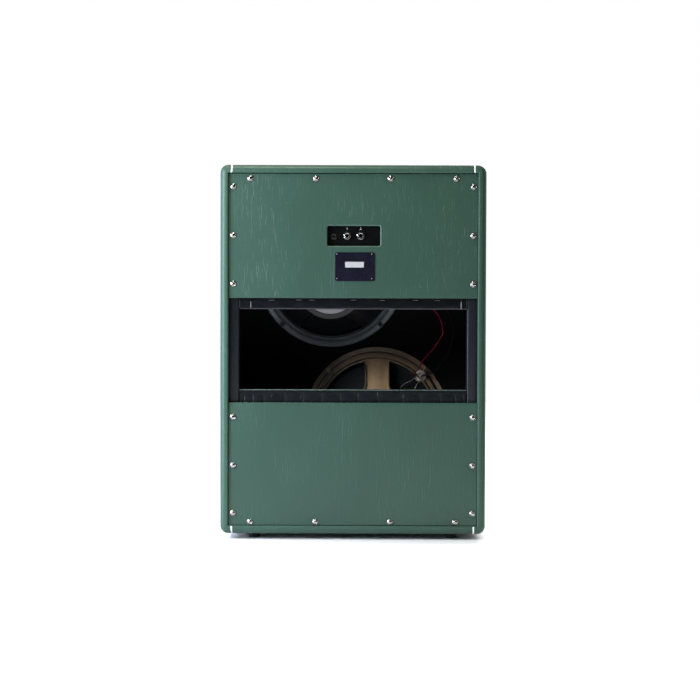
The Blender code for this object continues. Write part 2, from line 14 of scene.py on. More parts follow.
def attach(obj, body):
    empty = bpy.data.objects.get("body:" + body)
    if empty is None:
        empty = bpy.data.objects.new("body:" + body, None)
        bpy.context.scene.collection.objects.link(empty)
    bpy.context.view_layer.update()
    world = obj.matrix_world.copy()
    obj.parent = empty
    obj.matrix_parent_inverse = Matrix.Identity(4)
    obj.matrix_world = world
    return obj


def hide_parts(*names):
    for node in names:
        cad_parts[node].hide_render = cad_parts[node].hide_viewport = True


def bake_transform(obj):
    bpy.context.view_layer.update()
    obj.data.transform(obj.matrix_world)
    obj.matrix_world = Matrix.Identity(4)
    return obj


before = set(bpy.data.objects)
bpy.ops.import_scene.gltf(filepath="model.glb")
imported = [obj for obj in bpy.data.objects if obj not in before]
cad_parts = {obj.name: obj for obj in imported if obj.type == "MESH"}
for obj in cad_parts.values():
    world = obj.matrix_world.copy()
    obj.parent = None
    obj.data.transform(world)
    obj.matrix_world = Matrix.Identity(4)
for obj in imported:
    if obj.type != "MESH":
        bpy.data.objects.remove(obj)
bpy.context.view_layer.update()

MM = 0.001
rad = math.radians

# The sizes that the construction uses
HALF, BOARD, CORNER_R = 0.255, 0.016, 0.0150
REAR, FRONT, BOTTOM, TOP = 0.170, -0.170, 0.011, 0.719
LEAN = rad(13.0)
BEND_Z = 0.366 + 0.0366 * math.tan(LEAN / 2)
INNER = HALF - BOARD
PANEL_REAR, PANEL_FRONT = 0.166, 0.154
PANEL_HALF = 0.2388
UPPER_Z, LOWER_Z = (0.4639, 0.7018), (0.0276, 0.2632)
BATTEN_REAR = 0.1537
PIPING_X = 0.2320
ROW_X = (-0.1970, -0.0715, 0.0715, 0.1970)
COLUMN_X = 0.2300
SCREWS = {
    "upper": (0.6927, (0.6770, 0.5837, 0.4908)),
    "lower": (0.0340, (0.2356, 0.1429, 0.0507)),
}
JACKS = ((0.0119, 0.5843), (-0.0140, 0.5843))
DC = (0.0374, 0.5823)
CUTOUT = (-0.0010, 0.5832, 0.1018, 0.0386, 0.003)
PLATE = (-0.0033, 0.5242, 0.0760, 0.0550, 0.004)
UPPER_DRIVER = (0.047, FRONT + 0.0366 + 0.1535 * math.sin(LEAN), 0.366 + 0.1535 * math.cos(LEAN))
LOWER_DRIVER = (-0.050, FRONT + 0.0366, 0.366 - 0.1535)

view = bpy.context.scene.view_settings
view.view_transform = "Standard"
view.look = "None"


# ---------------------------------------------------------------- materials


class Look:
    """One procedural material. Its calls add a node and give back one of its outputs."""

    def __init__(self, name, colour, roughness, metallic=0.0, specular=0.5, grain="Object", **fixed):
        self.mat = bpy.data.materials.new(name)
        self.mat.use_nodes = True
        self.tree = self.mat.node_tree
        self.shader = self.tree.nodes["Principled BSDF"]
        self.shader.inputs["Base Color"].default_value = (*colour, 1.0)
        self.shader.inputs["Roughness"].default_value = roughness
        self.shader.inputs["Metallic"].default_value = metallic
        self.shader.inputs["Specular IOR Level"].default_value = specular
        for socket, value in fixed.items():
            self.shader.inputs[socket.replace("_", " ")].default_value = value
        self.colour, self.roughness = colour, roughness
        self.at = self.tree.nodes.new("ShaderNodeTexCoord").outputs[grain]
        self.bumps = None

    def add(self, kind, inputs=None, out=0, **settings):
        node = self.tree.nodes.new("ShaderNode" + kind)
        for key, value in settings.items():
            setattr(node, key, value)
        for key, value in (inputs or {}).items():
            socket = node.inputs[key]
            if isinstance(value, bpy.types.NodeSocket):
                self.tree.links.new(value, socket)
            else:
                socket.default_value = value
        return node.outputs[out]

    def stretch(self, scale, at=None, turn=(0.0, 0.0, 0.0)):
        return self.add("Mapping", {"Vector": at or self.at, "Scale": scale, "Rotation": turn})

    def noise(self, at, scale=1.0, detail=2.0, rough=0.5, distortion=0.0):
        return self.add(
            "TexNoise", {"Vector": at, "Scale": scale, "Detail": detail, "Roughness": rough, "Distortion": distortion}
        )

    def cells(self, at, scale=1.0, feature="DISTANCE_TO_EDGE"):
        return self.add("TexVoronoi", {"Vector": at, "Scale": scale}, feature=feature)

    def band(self, value, low, high, out_low=0.0, out_high=1.0, smooth=True):
        return self.add(
            "MapRange",
            {"Value": value, "From Min": low, "From Max": high, "To Min": out_low, "To Max": out_high},
            interpolation_type="SMOOTHSTEP" if smooth else "LINEAR",
        )

    def maths(self, operation, a, b=0.0, c=0.0):
        return self.add("Math", {0: a, 1: b, 2: c}, operation=operation)

    def mix(self, share, a, b):
        a, b = ((*v, 1.0) if isinstance(v, tuple) and len(v) == 3 else v for v in (a, b))
        return self.add("Mix", {0: share, 6: a, 7: b}, out=2, data_type="RGBA")

    def near_line(self, value, half_width, middle=0.5):
        """1 where the value is at the middle, falling to 0 at half a width from it."""
        away = self.maths("ABSOLUTE", self.maths("SUBTRACT", value, middle))
        return self.band(away, 0.0, half_width, 1.0, 0.0)

    def bump(self, height, depth, strength=1.0):
        inputs = {"Height": height, "Distance": depth, "Strength": strength}
        if self.bumps is not None:
            inputs["Normal"] = self.bumps
        self.bumps = self.add("Bump", inputs)
        self.tree.links.new(self.bumps, self.shader.inputs["Normal"])

    def paint(self, socket):
        self.tree.links.new(socket, self.shader.inputs["Base Color"])

    def gloss(self, socket):
        self.tree.links.new(socket, self.shader.inputs["Roughness"])


def shade(colour, factor):
    return tuple(c * factor for c in colour)


def creases_of(look, pitch, piece, half, low, turn=0.0, seed=0.0):
    """(lit side, shaded side) of a set of creases: one to a column, wiggling a little and broken along its length."""
    at = look.stretch((1, 1, 1), turn=(0, 0, turn))
    slow = look.noise(look.stretch((13, 21, 1), at), detail=1.0)
    quick = look.noise(look.stretch((60, 110, 1), at), detail=1.0)
    split = look.tree.nodes.new("ShaderNodeSeparateXYZ")
    look.tree.links.new(at, split.inputs[0])
    u, v = split.outputs[0], split.outputs[1]
    u = look.maths("MULTIPLY_ADD", slow, 0.0125, u)
    u = look.maths("MULTIPLY_ADD", quick, 0.0021, u)
    columns = look.maths("MULTIPLY", u, 1 / pitch)
    column = look.maths("FLOOR", columns)
    middle = look.add("TexWhiteNoise", {"W": look.maths("ADD", column, seed)}, noise_dimensions="1D")
    away = look.maths("SUBTRACT", look.maths("FRACT", columns), look.maths("MULTIPLY_ADD", middle, 0.6, 0.2))
    spot = look.add("CombineXYZ", {"X": look.maths("MULTIPLY_ADD", column, 7.13, seed), "Y": look.maths("MULTIPLY", v, 1 / piece)})
    there = look.band(look.noise(spot, detail=1.5), low, low + 0.10)
    width = half / pitch
    lit = look.maths("MULTIPLY", look.near_line(away, width, 0.0), there)
    shaded = look.maths("MULTIPLY", look.near_line(away, width * 1.1, -1.9 * width), there)
    return lit, shaded


def bark_vinyl(name, colour, roughness, specular=0.5):
    """Vinyl cloth embossed with long sparse creases, like bark, with a painted highlight on each crease's lit side and
    painted shade on its shaded side. Its UVs are in metres and the grain runs along V.
    """
    look = Look(name, colour, roughness, specular=specular, grain="UV")
    creases, shadows = None, None
    for pitch, piece, half, low, turn, seed in (
        (0.0088, 0.036, 0.00050, 0.51, 0.02, 3.0),
        (0.0131, 0.048, 0.00062, 0.53, -0.05, 41.0),
        (0.0061, 0.022, 0.00040, 0.53, 0.08, 77.0),
        (0.0170, 0.016, 0.00045, 0.63, 1.40, 19.0),
    ):
        lit, shaded = creases_of(look, pitch, piece, half, low, turn, seed)
        creases = lit if creases is None else look.maths("MAXIMUM", creases, lit)
        shadows = shaded if shadows is None else look.maths("MAXIMUM", shadows, shaded)
    patch = look.band(look.noise(look.stretch((9, 6, 1)), detail=1.0), 0.38, 0.62, 0.35, 1.0)
    creases = look.maths("MULTIPLY", creases, patch)
    shadows = look.maths("MULTIPLY", shadows, patch)
    swell = look.noise(look.stretch((30, 9, 1)), detail=2.0)
    hair = look.noise(look.stretch((620, 90, 1)), detail=3.0, rough=0.6)
    pebble = look.noise(look.stretch((1500, 1100, 1)), detail=2.0, rough=0.6)
    look.bump(swell, 0.00045)
    look.bump(look.maths("SUBTRACT", creases, shadows), 0.00014)
    look.bump(hair, 0.00007)
    look.bump(pebble, 0.00006)
    tone = look.band(look.noise(look.stretch((9, 6, 1)), detail=3.0), 0.3, 0.7)
    base = look.mix(tone, shade(colour, 0.95), shade(colour, 1.05))
    base = look.mix(look.maths("MULTIPLY", hair, 0.35), base, shade(colour, 0.80))
    # Painted shade on the creases' shaded sides, then a painted highlight on their lit sides.
    base = look.mix(look.maths("MULTIPLY", shadows, 0.72), base, shade(colour, 0.50))
    look.paint(look.mix(look.maths("MULTIPLY", creases, 0.72), base, tuple(c * 1.75 + 0.018 for c in colour)))
    look.gloss(look.maths("MULTIPLY_ADD", pebble, 0.10, roughness - 0.05))
    return look.mat


def smooth_vinyl(name, colour, roughness, specular=0.5, edge=None):
    """Thin dark vinyl cloth with a faint leather grain. edge is (height where it starts, where it is full, colour) of a
    painted highlight: a pale band along the rounded rear edge.
    """
    look = Look(name, colour, roughness, specular=specular)
    grain = look.cells(look.stretch((520, 520, 520)), 1.0)
    folds = look.noise(look.stretch((60, 60, 160)), detail=3.0)
    look.bump(folds, 0.00022)
    look.bump(look.band(grain, 0.0, 0.25), 0.00004)
    tone = look.noise(look.stretch((30, 30, 30)), detail=3.0)
    base = look.mix(tone, shade(colour, 0.8), shade(colour, 1.25))
    if edge:
        split = look.tree.nodes.new("ShaderNodeSeparateXYZ")
        look.tree.links.new(look.at, split.inputs[0])
        # Painted highlight: a pale band along the rounded rear edge at the given heights, broken up by noise.
        painted_edge_highlight = look.maths(
            "MULTIPLY", look.band(split.outputs[2], edge[0], edge[1]), look.band(split.outputs[1], BATTEN_REAR - 0.0035, BATTEN_REAR - 0.0015)
        )
        highlight_breakup = look.band(look.noise(look.stretch((120, 120, 500)), detail=2.0), 0.25, 0.75, 0.65, 1.0)
        base = look.mix(look.maths("MULTIPLY", painted_edge_highlight, highlight_breakup), base, edge[2])
    look.paint(base)
    look.gloss(look.maths("MULTIPLY_ADD", folds, 0.2, roughness - 0.1))
    return look.mat


def enamel(name, colour, roughness, metallic=0.0, dust=0.0, specular=0.5, grooves=()):
    """Stoved paint on pressed steel: a little orange peel, and dust lying in it.

    grooves are (radius, half width, share of the colour left): painted shade, the paint darker along turned grooves.
    """
    look = Look(name, colour, roughness, metallic, specular)
    peel = look.noise(look.stretch((420, 420, 420)), detail=2.0)
    stain = look.band(look.noise(look.stretch((34, 34, 34)), detail=4.0, rough=0.6), 0.35, 0.75)
    look.bump(peel, 0.00006)
    base = look.mix(stain, shade(colour, 1.08), tuple(c * 0.80 + dust for c in colour))
    if grooves:
        split = look.tree.nodes.new("ShaderNodeSeparateXYZ")
        look.tree.links.new(look.at, split.inputs[0])
        x, y = split.outputs[0], split.outputs[1]
        radius = look.maths("SQRT", look.maths("ADD", look.maths("MULTIPLY", x, x), look.maths("MULTIPLY", y, y)))
        # Painted shade: the paint is darker along each turned groove.
        for where, half, left in grooves:
            base = look.mix(look.near_line(radius, half, where), base, tuple(c * left + 0.004 for c in colour))
    look.paint(base)
    look.gloss(look.maths("MULTIPLY_ADD", stain, 0.16, roughness - 0.04))
    return look.mat


def plated(name, colour, roughness, swirl=900.0, dents=0.00001):
    """Plated or polished metal, with fine rubbing marks."""
    look = Look(name, colour, roughness, 1.0)
    marks = look.noise(look.stretch((swirl, swirl, swirl * 0.25)), detail=3.0)
    film = look.noise(look.stretch((160, 160, 160)), detail=2.0)
    look.bump(marks, dents)
    look.paint(look.mix(film, shade(colour, 0.86), colour))
    look.gloss(look.maths("MULTIPLY_ADD", marks, roughness * 0.7, roughness * 0.65))
    return look.mat


def moulded(name, colour, roughness, bump=0.00004, scale=700.0, vary=0.25, specular=0.5):
    """Moulded plastic, rubber, powder coat or insulation with a fine tooth."""
    look = Look(name, colour, roughness, specular=specular)
    tooth = look.noise(look.stretch((scale, scale, scale)), detail=2.0, rough=0.6)
    cloud = look.noise(look.stretch((45, 45, 45)), detail=3.0)
    look.bump(tooth, bump)
    look.paint(look.mix(cloud, shade(colour, 1 - vary), shade(colour, 1 + vary)))
    look.gloss(look.maths("MULTIPLY_ADD", cloud, 0.18, roughness - 0.09))
    return look.mat


def ply(name, colour, dark, roughness, veins=0.35, specular=0.5):
    """Plywood: long grain on the faces, and the edges' plies from the same rings."""
    look = Look(name, colour, roughness, specular=specular)
    at = look.stretch((14, 240, 3.2))
    wander = look.noise(look.stretch((6, 20, 5)), detail=2.0)
    rings = look.noise(at, detail=4.0, rough=0.6, distortion=0.8)
    pores = look.noise(look.stretch((900, 900, 60)), detail=1.0)
    look.bump(rings, 0.00010)
    look.bump(pores, 0.00006)
    share = look.band(look.maths("MULTIPLY_ADD", wander, 0.4, rings), 0.45, 0.95)
    look.paint(look.mix(look.maths("MULTIPLY", share, veins * 2), colour, dark))
    look.gloss(look.maths("MULTIPLY_ADD", rings, 0.2, roughness - 0.1))
    return look.mat


def felted(name, colour, roughness=0.9):
    """Pressed paper: matted fibres, a little uneven in tone."""
    look = Look(name, colour, roughness, specular=0.25)
    fibre = look.noise(look.stretch((300, 300, 300)), detail=5.0, rough=0.7, distortion=1.5)
    tone = look.noise(look.stretch((22, 22, 22)), detail=3.0)
    look.bump(fibre, 0.00022)
    look.paint(look.mix(look.maths("MULTIPLY_ADD", fibre, 0.6, look.maths("MULTIPLY", tone, 0.4)), shade(colour, 0.65), shade(colour, 1.35)))
    return look.mat


def braid(name, colour):
    """Tinsel lead: flat metal threads braided over a core. UVs: U round it, V along it in metres."""
    look = Look(name, colour, 0.34, 0.35, grain="UV")
    one = look.add("TexWave", {"Vector": look.stretch((2.0, 900, 1), turn=(0, 0, 0)), "Scale": 1.0, "Distortion": 0.0}, out=1, bands_direction="DIAGONAL")
    look.bump(one, 0.00015)
    look.paint(look.mix(one, shade(colour, 0.35), colour))
    return look.mat


def woven(name):
    """Grille cloth: a basket weave of pairs of black threads, every fourth pair flecked with grey."""
    look = Look(name, (0.02, 0.02, 0.022), 0.85, specular=0.25, grain="UV")
    pitch = 1 / 0.0026
    at = look.stretch((pitch, pitch, 1))
    split = look.tree.nodes.new("ShaderNodeSeparateXYZ")
    look.tree.links.new(at, split.inputs[0])
    u, v = split.outputs[0], split.outputs[1]
    wave_u = look.maths("ABSOLUTE", look.maths("SINE", look.maths("MULTIPLY", u, math.pi * 2)))
    wave_v = look.maths("ABSOLUTE", look.maths("SINE", look.maths("MULTIPLY", v, math.pi * 2)))
    check = look.maths(
        "MODULO",
        look.maths("ADD", look.maths("FLOOR", u), look.maths("FLOOR", v)),
        2.0,
    )
    check = look.maths("ABSOLUTE", check)
    height = look.add("Mix", {0: check, 2: wave_u, 3: wave_v}, out=0, data_type="FLOAT")
    fuzz = look.noise(look.stretch((2200, 2200, 1)), detail=2.0)
    look.bump(height, 0.0004)
    look.bump(fuzz, 0.00012)
    fleck = look.maths("LESS_THAN", look.maths("FRACT", look.maths("MULTIPLY", u, 0.25)), 0.25)
    fleck = look.maths("MULTIPLY", fleck, look.maths("SUBTRACT", 1.0, check))
    thread = look.mix(fleck, (0.022, 0.022, 0.024), (0.13, 0.13, 0.125))
    dark = look.mix(look.band(height, 0.0, 0.6), (0.004, 0.004, 0.005), thread)
    look.paint(look.mix(look.maths("MULTIPLY", fuzz, 0.4), dark, (0.03, 0.03, 0.032)))
    return look.mat


GREEN = bark_vinyl("green_bark_vinyl", (0.0350, 0.0800, 0.0590), 0.37, specular=0.25)
# A darker copy of the shell's green vinyl for the back panels: painted shade.
PANEL_GREEN_PAINTED_SHADE = bark_vinyl("green_bark_vinyl_panels_painted_shade", (0.0308, 0.0700, 0.0525), 0.37, specular=0.25)
# A lighter, glossier copy of the green vinyl for the jack cutout's rounded edge: painted highlight.
CUTOUT_EDGE_PAINTED_HIGHLIGHT = smooth_vinyl("green_vinyl_painted_highlight_on_an_edge", (0.052, 0.100, 0.078), 0.30, specular=0.45)
# One dark vinyl in lit and shaded copies: a lighter one for the side battens (painted light) and darker ones for the
# opening's strips (painted shade). The strips' copies also carry a painted highlight along one rounded edge, pale green
# on the lower strip.
DARK_SIDE_PAINTED_LIGHT = smooth_vinyl("dark_vinyl_cloth_sides_painted_light", (0.0086, 0.0110, 0.0155), 0.32, specular=0.38)
DARK_UPPER_PAINTED_SHADE_AND_HIGHLIGHT = smooth_vinyl("dark_vinyl_cloth_upper_painted_shade_and_highlight", (0.0024, 0.0037, 0.0050), 0.30, specular=0.23, edge=(0.4450, 0.4436, (0.055, 0.058, 0.063)))
DARK_LOWER_PAINTED_SHADE_AND_HIGHLIGHT = smooth_vinyl("dark_vinyl_cloth_lower_painted_shade_and_highlight", (0.0026, 0.0044, 0.0058), 0.30, specular=0.28, edge=(0.2862, 0.2874, (0.095, 0.140, 0.125)))
BACKING = felted("vinyl_cloth_backing", (0.30, 0.31, 0.32))
WORN = felted("worn_cloth_edge", (0.075, 0.082, 0.090))
WHITE = moulded("white_piping_vinyl", (0.80, 0.82, 0.80), 0.38, bump=0.00005, scale=500, vary=0.04)
PAINTED = ply("black_painted_plywood", (0.0016, 0.0021, 0.0036), (0.0008, 0.0010, 0.0018), 0.70, specular=0.15)
RAW = ply("raw_birch_plywood", (0.52, 0.36, 0.20), (0.36, 0.22, 0.11), 0.75)
NICKEL = plated("bright_nickel", (0.56, 0.545, 0.53), 0.14)
CHROME = plated("polished_nickel", (0.86, 0.85, 0.83), 0.10, dents=0.000006)
DARK_NICKEL = plated("screw_nickel", (0.44, 0.425, 0.425), 0.075, dents=0.000006)
# A near-black copy of bolt steel for the upper driver's bolts: painted shade.
BOLT_STEEL_PAINTED_SHADE = plated("dark_bolt_steel_painted_shade", (0.035, 0.036, 0.040), 0.35)
BRASSED = plated("yellow_zinc", (0.50, 0.43, 0.28), 0.35)
STEEL_WIRE = plated("bright_steel_wire", (0.60, 0.61, 0.63), 0.25)
# A darkened copy of bright steel wire: on the staples it is painted shade; the rating plate's rivets and the socket's
# pin take it too.
DARKENED_STEEL = plated("darkened_steel_wire", (0.20, 0.21, 0.215), 0.40)
ZINC = plated("zinc_plate", (0.20, 0.205, 0.225), 0.42, swirl=300.0, dents=0.00002)
# The grey and tan enamels' grooves are painted shade: darker rings of paint along the rim's turned grooves.
GREY_STEEL = enamel("grey_enamel", (0.165, 0.198, 0.238), 0.34, 0.15, dust=0.01, grooves=((0.1405, 0.0018, 0.25), (0.1300, 0.0020, 0.2)))
# A near-black copy for the upper driver's basket behind its grey flange: painted shade.
BASKET_PAINTED_SHADE = enamel("black_enamel_painted_shade", (0.016, 0.017, 0.022), 0.38, 0.0, dust=0.004)
# The rolled edges are enamelled like the rest of the frame; this lighter, metal-like copy of the tan enamel is a
# painted highlight on them.
TAN_EDGE_PAINTED_HIGHLIGHT = enamel("tan_enamel_rolled_edge_painted_highlight", (0.56, 0.49, 0.40), 0.17, 0.75, dust=0.01, specular=0.8)
TAN_STEEL = enamel("tan_enamel", (0.45, 0.32, 0.205), 0.36, 0.0, dust=0.02, grooves=((0.1425, 0.0024, 0.12), (0.1300, 0.0020, 0.15)))
# A darker copy of the tan enamel for the frame's rim and flange: painted shade.
TAN_RIM_PAINTED_SHADE = enamel("tan_enamel_rim_painted_shade", (0.31, 0.228, 0.165), 0.36, 0.0, dust=0.015, grooves=((0.1425, 0.0024, 0.12), (0.1300, 0.0020, 0.15)))
FERRITE = moulded("ferrite", (0.045, 0.045, 0.052), 0.55, bump=0.00008, scale=420, vary=0.35)
POWDER = moulded("black_powder_coat", (0.0013, 0.0017, 0.0022), 0.32, bump=0.00003, scale=1400, specular=0.22)
PLASTIC = moulded("black_moulding", (0.010, 0.011, 0.013), 0.42)
SOCKET_GREY = moulded("dark_grey_moulding", (0.024, 0.027, 0.029), 0.45)
BORE = moulded("dark_bore", (0.004, 0.004, 0.005), 0.6)
NAVY = moulded("navy_printed_plate", (0.0058, 0.0058, 0.0130), 0.26, bump=0.00002, specular=0.25)
STICKER = moulded("white_label_paper", (0.36, 0.36, 0.385), 0.60, bump=0.00003, vary=0.03)
PRINT = moulded("white_print", (0.62, 0.64, 0.64), 0.55, vary=0.08)
RUBBER = moulded("black_rubber", (0.014, 0.015, 0.018), 0.72, bump=0.00012, scale=380)
PAPER = felted("dark_cone_paper", (0.019, 0.024, 0.033))
# A darker copy of the cone paper for the upper driver: painted shade.
PAPER_UPPER_PAINTED_SHADE = felted("cone_paper_upper_painted_shade", (0.009, 0.011, 0.016))
TINNED = plated("tinned_lug", (0.62, 0.60, 0.58), 0.55)
SPIDER = felted("resined_cotton", (0.17, 0.10, 0.045), 0.8)
FIBRE = felted("pale_terminal_fibre", (0.72, 0.66, 0.64), 0.75)
RED = moulded("red_insulation", (0.17, 0.006, 0.016), 0.38, bump=0.00003)
BLACK = moulded("black_insulation", (0.0035, 0.0035, 0.0045), 0.45, bump=0.00003, specular=0.2)
TINSEL = braid("silver_tinsel", (0.70, 0.71, 0.68))
CLOTH = woven("woven_grille_cloth")


# ---------------------------------------------------------------- mesh tools


def weld(mesh, distance=2e-6):
    bm = bmesh.new()
    bm.from_mesh(mesh)
    bmesh.ops.remove_doubles(bm, verts=bm.verts, dist=distance)
    bmesh.ops.dissolve_degenerate(bm, edges=bm.edges, dist=1e-7)
    bmesh.ops.recalc_face_normals(bm, faces=bm.faces)
    bm.to_mesh(mesh)
    bm.free()


def dress(mesh, name, looks, body, place=None, smooth=True, sharp=38.0, slot=None, stands_for=()):
    for look in looks:
        mesh.materials.append(look)
    if smooth:
        mesh.shade_smooth()
        mesh.set_sharp_from_angle(angle=rad(sharp))
    made = bpy.data.objects.new(name, mesh)
    bpy.context.scene.collection.objects.link(made)
    if place is not None:
        made.matrix_world = place
    return settle(made, body, stands_for)


def settle(made, body, stands_for=()):
    if body:
        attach(made, body)
    if stands_for:
        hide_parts(*stands_for)
    return made


def build(name, verts, faces, looks, body="cabinet", uvs=None, indices=None, **rest):
    """A mesh from points and faces. Points that coincide are welded, and each keeps its own UV at its face."""
    mesh = bpy.data.meshes.new(name)
    mesh.from_pydata([tuple(v) for v in verts], [], faces)
    if indices is not None:
        mesh.polygons.foreach_set("material_index", indices)
    if uvs is not None:
        layer = mesh.uv_layers.new(name="grain")
        for loop in mesh.loops:
            layer.data[loop.index].uv = uvs[loop.vertex_index]
    weld(mesh)
    return dress(mesh, name, looks, body, **rest)


def ring_faces(rows, columns, close_rows=False, close_columns=False):
    """Quads over points kept row by row."""
    faces = []
    for i in range(rows if close_rows else rows - 1):
        for k in range(columns if close_columns else columns - 1):
            a, b = i * columns + k, i * columns + (k + 1) % columns
            c, d = ((i + 1) % rows) * columns + (k + 1) % columns, ((i + 1) % rows) * columns + k
            faces.append((a, b, c, d))
    return faces


def turned(name, profile, steps, looks, body="cabinet", ring=False, indices=None, **rest):
    """Turns (radius, height) points about Z. indices gives the material of each stretch of the profile."""
    verts = []
    for r, h in profile:
        verts += [(r * math.cos(2 * math.pi * k / steps), r * math.sin(2 * math.pi * k / steps), h) for k in range(steps)]
    faces = ring_faces(len(profile), steps, ring, True)
    given = None
    if indices:
        given = [indices[f // steps] for f in range(len(faces))]
    mesh = bpy.data.meshes.new(name)
    mesh.from_pydata(verts, [], faces)
    if given:
        mesh.polygons.foreach_set("material_index", given)
    weld(mesh)
    return dress(mesh, name, looks, body, **rest)


def rounded(profile, radius, steps=3):
    """A profile with its inner points replaced by small arcs, drawn as quadratic curves."""
    out = [profile[0]]
    for a, b, c in zip(profile, profile[1:], profile[2:]):
        a, b, c = Vector(a), Vector(b), Vector(c)
        size = min(radius, (a - b).length * 0.49, (c - b).length * 0.49)
        if size < 1e-6:
            out.append(tuple(b))
            continue
        start, end = b + (a - b).normalized() * size, b + (c - b).normalized() * size
        for k in range(steps + 1):
            t = k / steps
            out.append(tuple(start * (1 - t) ** 2 + b * 2 * t * (1 - t) + end * t * t))
    out.append(profile[-1])
    return out


def facing(origin, lean=0.0):
    """A frame whose Z points out of the back of the cabinet, leaned back by an angle, with X kept."""
    return Matrix.Translation(Vector(origin)) @ Matrix.Rotation(-(math.pi / 2 + lean), 4, "X")


def round_box(name, low, high, radius, looks, body="cabinet", segments=3, **rest):
    bm = bmesh.new()
    bmesh.ops.create_cube(bm, size=1.0)
    size, middle = Vector(high) - Vector(low), (Vector(high) + Vector(low)) / 2
    for vert in bm.verts:
        vert.co = Vector(c * s for c, s in zip(vert.co, size)) + middle
    bmesh.ops.bevel(bm, geom=bm.edges, offset=radius, segments=segments, profile=0.5, affect="EDGES")
    bmesh.ops.recalc_face_normals(bm, faces=bm.faces)
    mesh = bpy.data.meshes.new(name)
    bm.to_mesh(mesh)
    bm.free()
    return dress(mesh, name, looks, body, **rest)


def outline(cx, cz, width, height, radius, steps=5, grow=0.0):
    """A rectangle's outline with round corners, grown or shrunk squarely."""
    points = []
    radius = max(radius + grow, 1e-5)
    half_w, half_h = width / 2 + grow, height / 2 + grow
    for sx, sz, start in ((1, -1, -90), (1, 1, 0), (-1, 1, 90), (-1, -1, 180)):
        for k in range(steps + 1):
            a = rad(start + 90 * k / steps)
            points.append((cx + sx * (half_w - radius) + radius * math.cos(a), cz + sz * (half_h - radius) + radius * math.sin(a)))
    return points


def plate(name, shape, levels, looks, body="cabinet", **rest):
    """A flat piece facing +Y. shape(grow) gives its outline, and levels its (grow, y) from one face to the other."""
    rows = [[(x, y, z) for x, z in shape(grow)] for grow, y in levels]
    count = len(rows[0])
    verts = [p for row in rows for p in row]
    faces = ring_faces(len(rows), count, False, True)
    faces += [tuple(range(count))[::-1], tuple(range((len(rows) - 1) * count, len(rows) * count))]
    return build(name, verts, faces, looks, body, **rest)


def subtract(made, cutters, how="DIFFERENCE"):
    """Cuts a mesh object by others, which are then removed."""
    for cutter in cutters:
        step = made.modifiers.new("cut", "BOOLEAN")
        step.operation, step.solver, step.object = how, "EXACT", cutter
    bpy.context.view_layer.update()
    mesh = bpy.data.meshes.new_from_object(made.evaluated_get(bpy.context.evaluated_depsgraph_get()))
    made.modifiers.clear()
    made.data = mesh
    for cutter in cutters:
        bpy.data.objects.remove(cutter)
    mesh.shade_smooth()
    mesh.set_sharp_from_angle(angle=rad(35))
    return mesh


def spline(points, step):
    """Evenly spaced points on a smooth curve through the given ones."""
    points = [Vector(p) for p in points]
    ends = [2 * points[0] - points[1], *points, 2 * points[-1] - points[-2]]
    fine = []
    for a, b, c, d in zip(ends, ends[1:], ends[2:], ends[3:]):
        for k in range(24):
            t = k / 24
            fine.append(0.5 * (2 * b + (c - a) * t + (2 * a - 5 * b + 4 * c - d) * t * t + (3 * b - a - 3 * c + d) * t**3))
    fine.append(points[-1])
    length = sum((q - p).length for p, q in zip(fine, fine[1:]))
    count = max(2, round(length / step))
    out, walked, target = [fine[0]], 0.0, length / count
    for p, q in zip(fine, fine[1:]):
        span = (q - p).length
        while walked + span >= target - 1e-9 and len(out) < count:
            out.append(p.lerp(q, (target - walked) / span))
            target += length / count
        walked += span
    out.append(fine[-1])
    return out, length


def tube(name, points, radius, look, body="cabinet", sides=10, ends=0.0, **rest):
    """A round tube through the points, with UVs (turn, metres along)."""
    points = [Vector(p) for p in points]
    tangents = [(b - a).normalized() for a, b in zip([points[0]] + points[:-1], points[1:] + [points[-1]])]
    tangents[0] = (points[1] - points[0]).normalized()
    tangents[-1] = (points[-1] - points[-2]).normalized()
    side = tangents[0].orthogonal().normalized()
    verts, uvs, along = [], [], 0.0
    for n, (point, tangent) in enumerate(zip(points, tangents)):
        side = (side - tangent * side.dot(tangent)).normalized()
        other = tangent.cross(side)
        along += (point - points[n - 1]).length if n else 0.0
        r = radius(n / (len(points) - 1)) if callable(radius) else radius
        for k in range(sides + 1):
            a = 2 * math.pi * k / sides
            verts.append(point + (side * math.cos(a) + other * math.sin(a)) * r)
            uvs.append((k / sides, along))
    faces = ring_faces(len(points), sides + 1)
    last = (len(points) - 1) * (sides + 1)
    faces += [tuple(range(sides))[::-1], tuple(last + k for k in range(sides))]
    return build(name, verts, faces, [look], body, uvs=uvs, **rest)


# ---------------------------------------------------------------- carcass


def front_at(z):
    return FRONT + max(0.0, z - BEND_Z) * math.tan(LEAN)


def soft(t):
    t = max(0.0, min(1.0, t))
    return t * t * (3 - 2 * t)


# How far each strip of piping drifts sideways where it comes down the back
DRIFT = {("top", 1): 0.0007, ("top", -1): -0.0004, ("bottom", 1): 0.0005, ("bottom", -1): 0.0002}
EDGE_R, INNER_R, FRONT_R = 0.0116, 0.0021, 0.0100
GROOVE = 0.00125


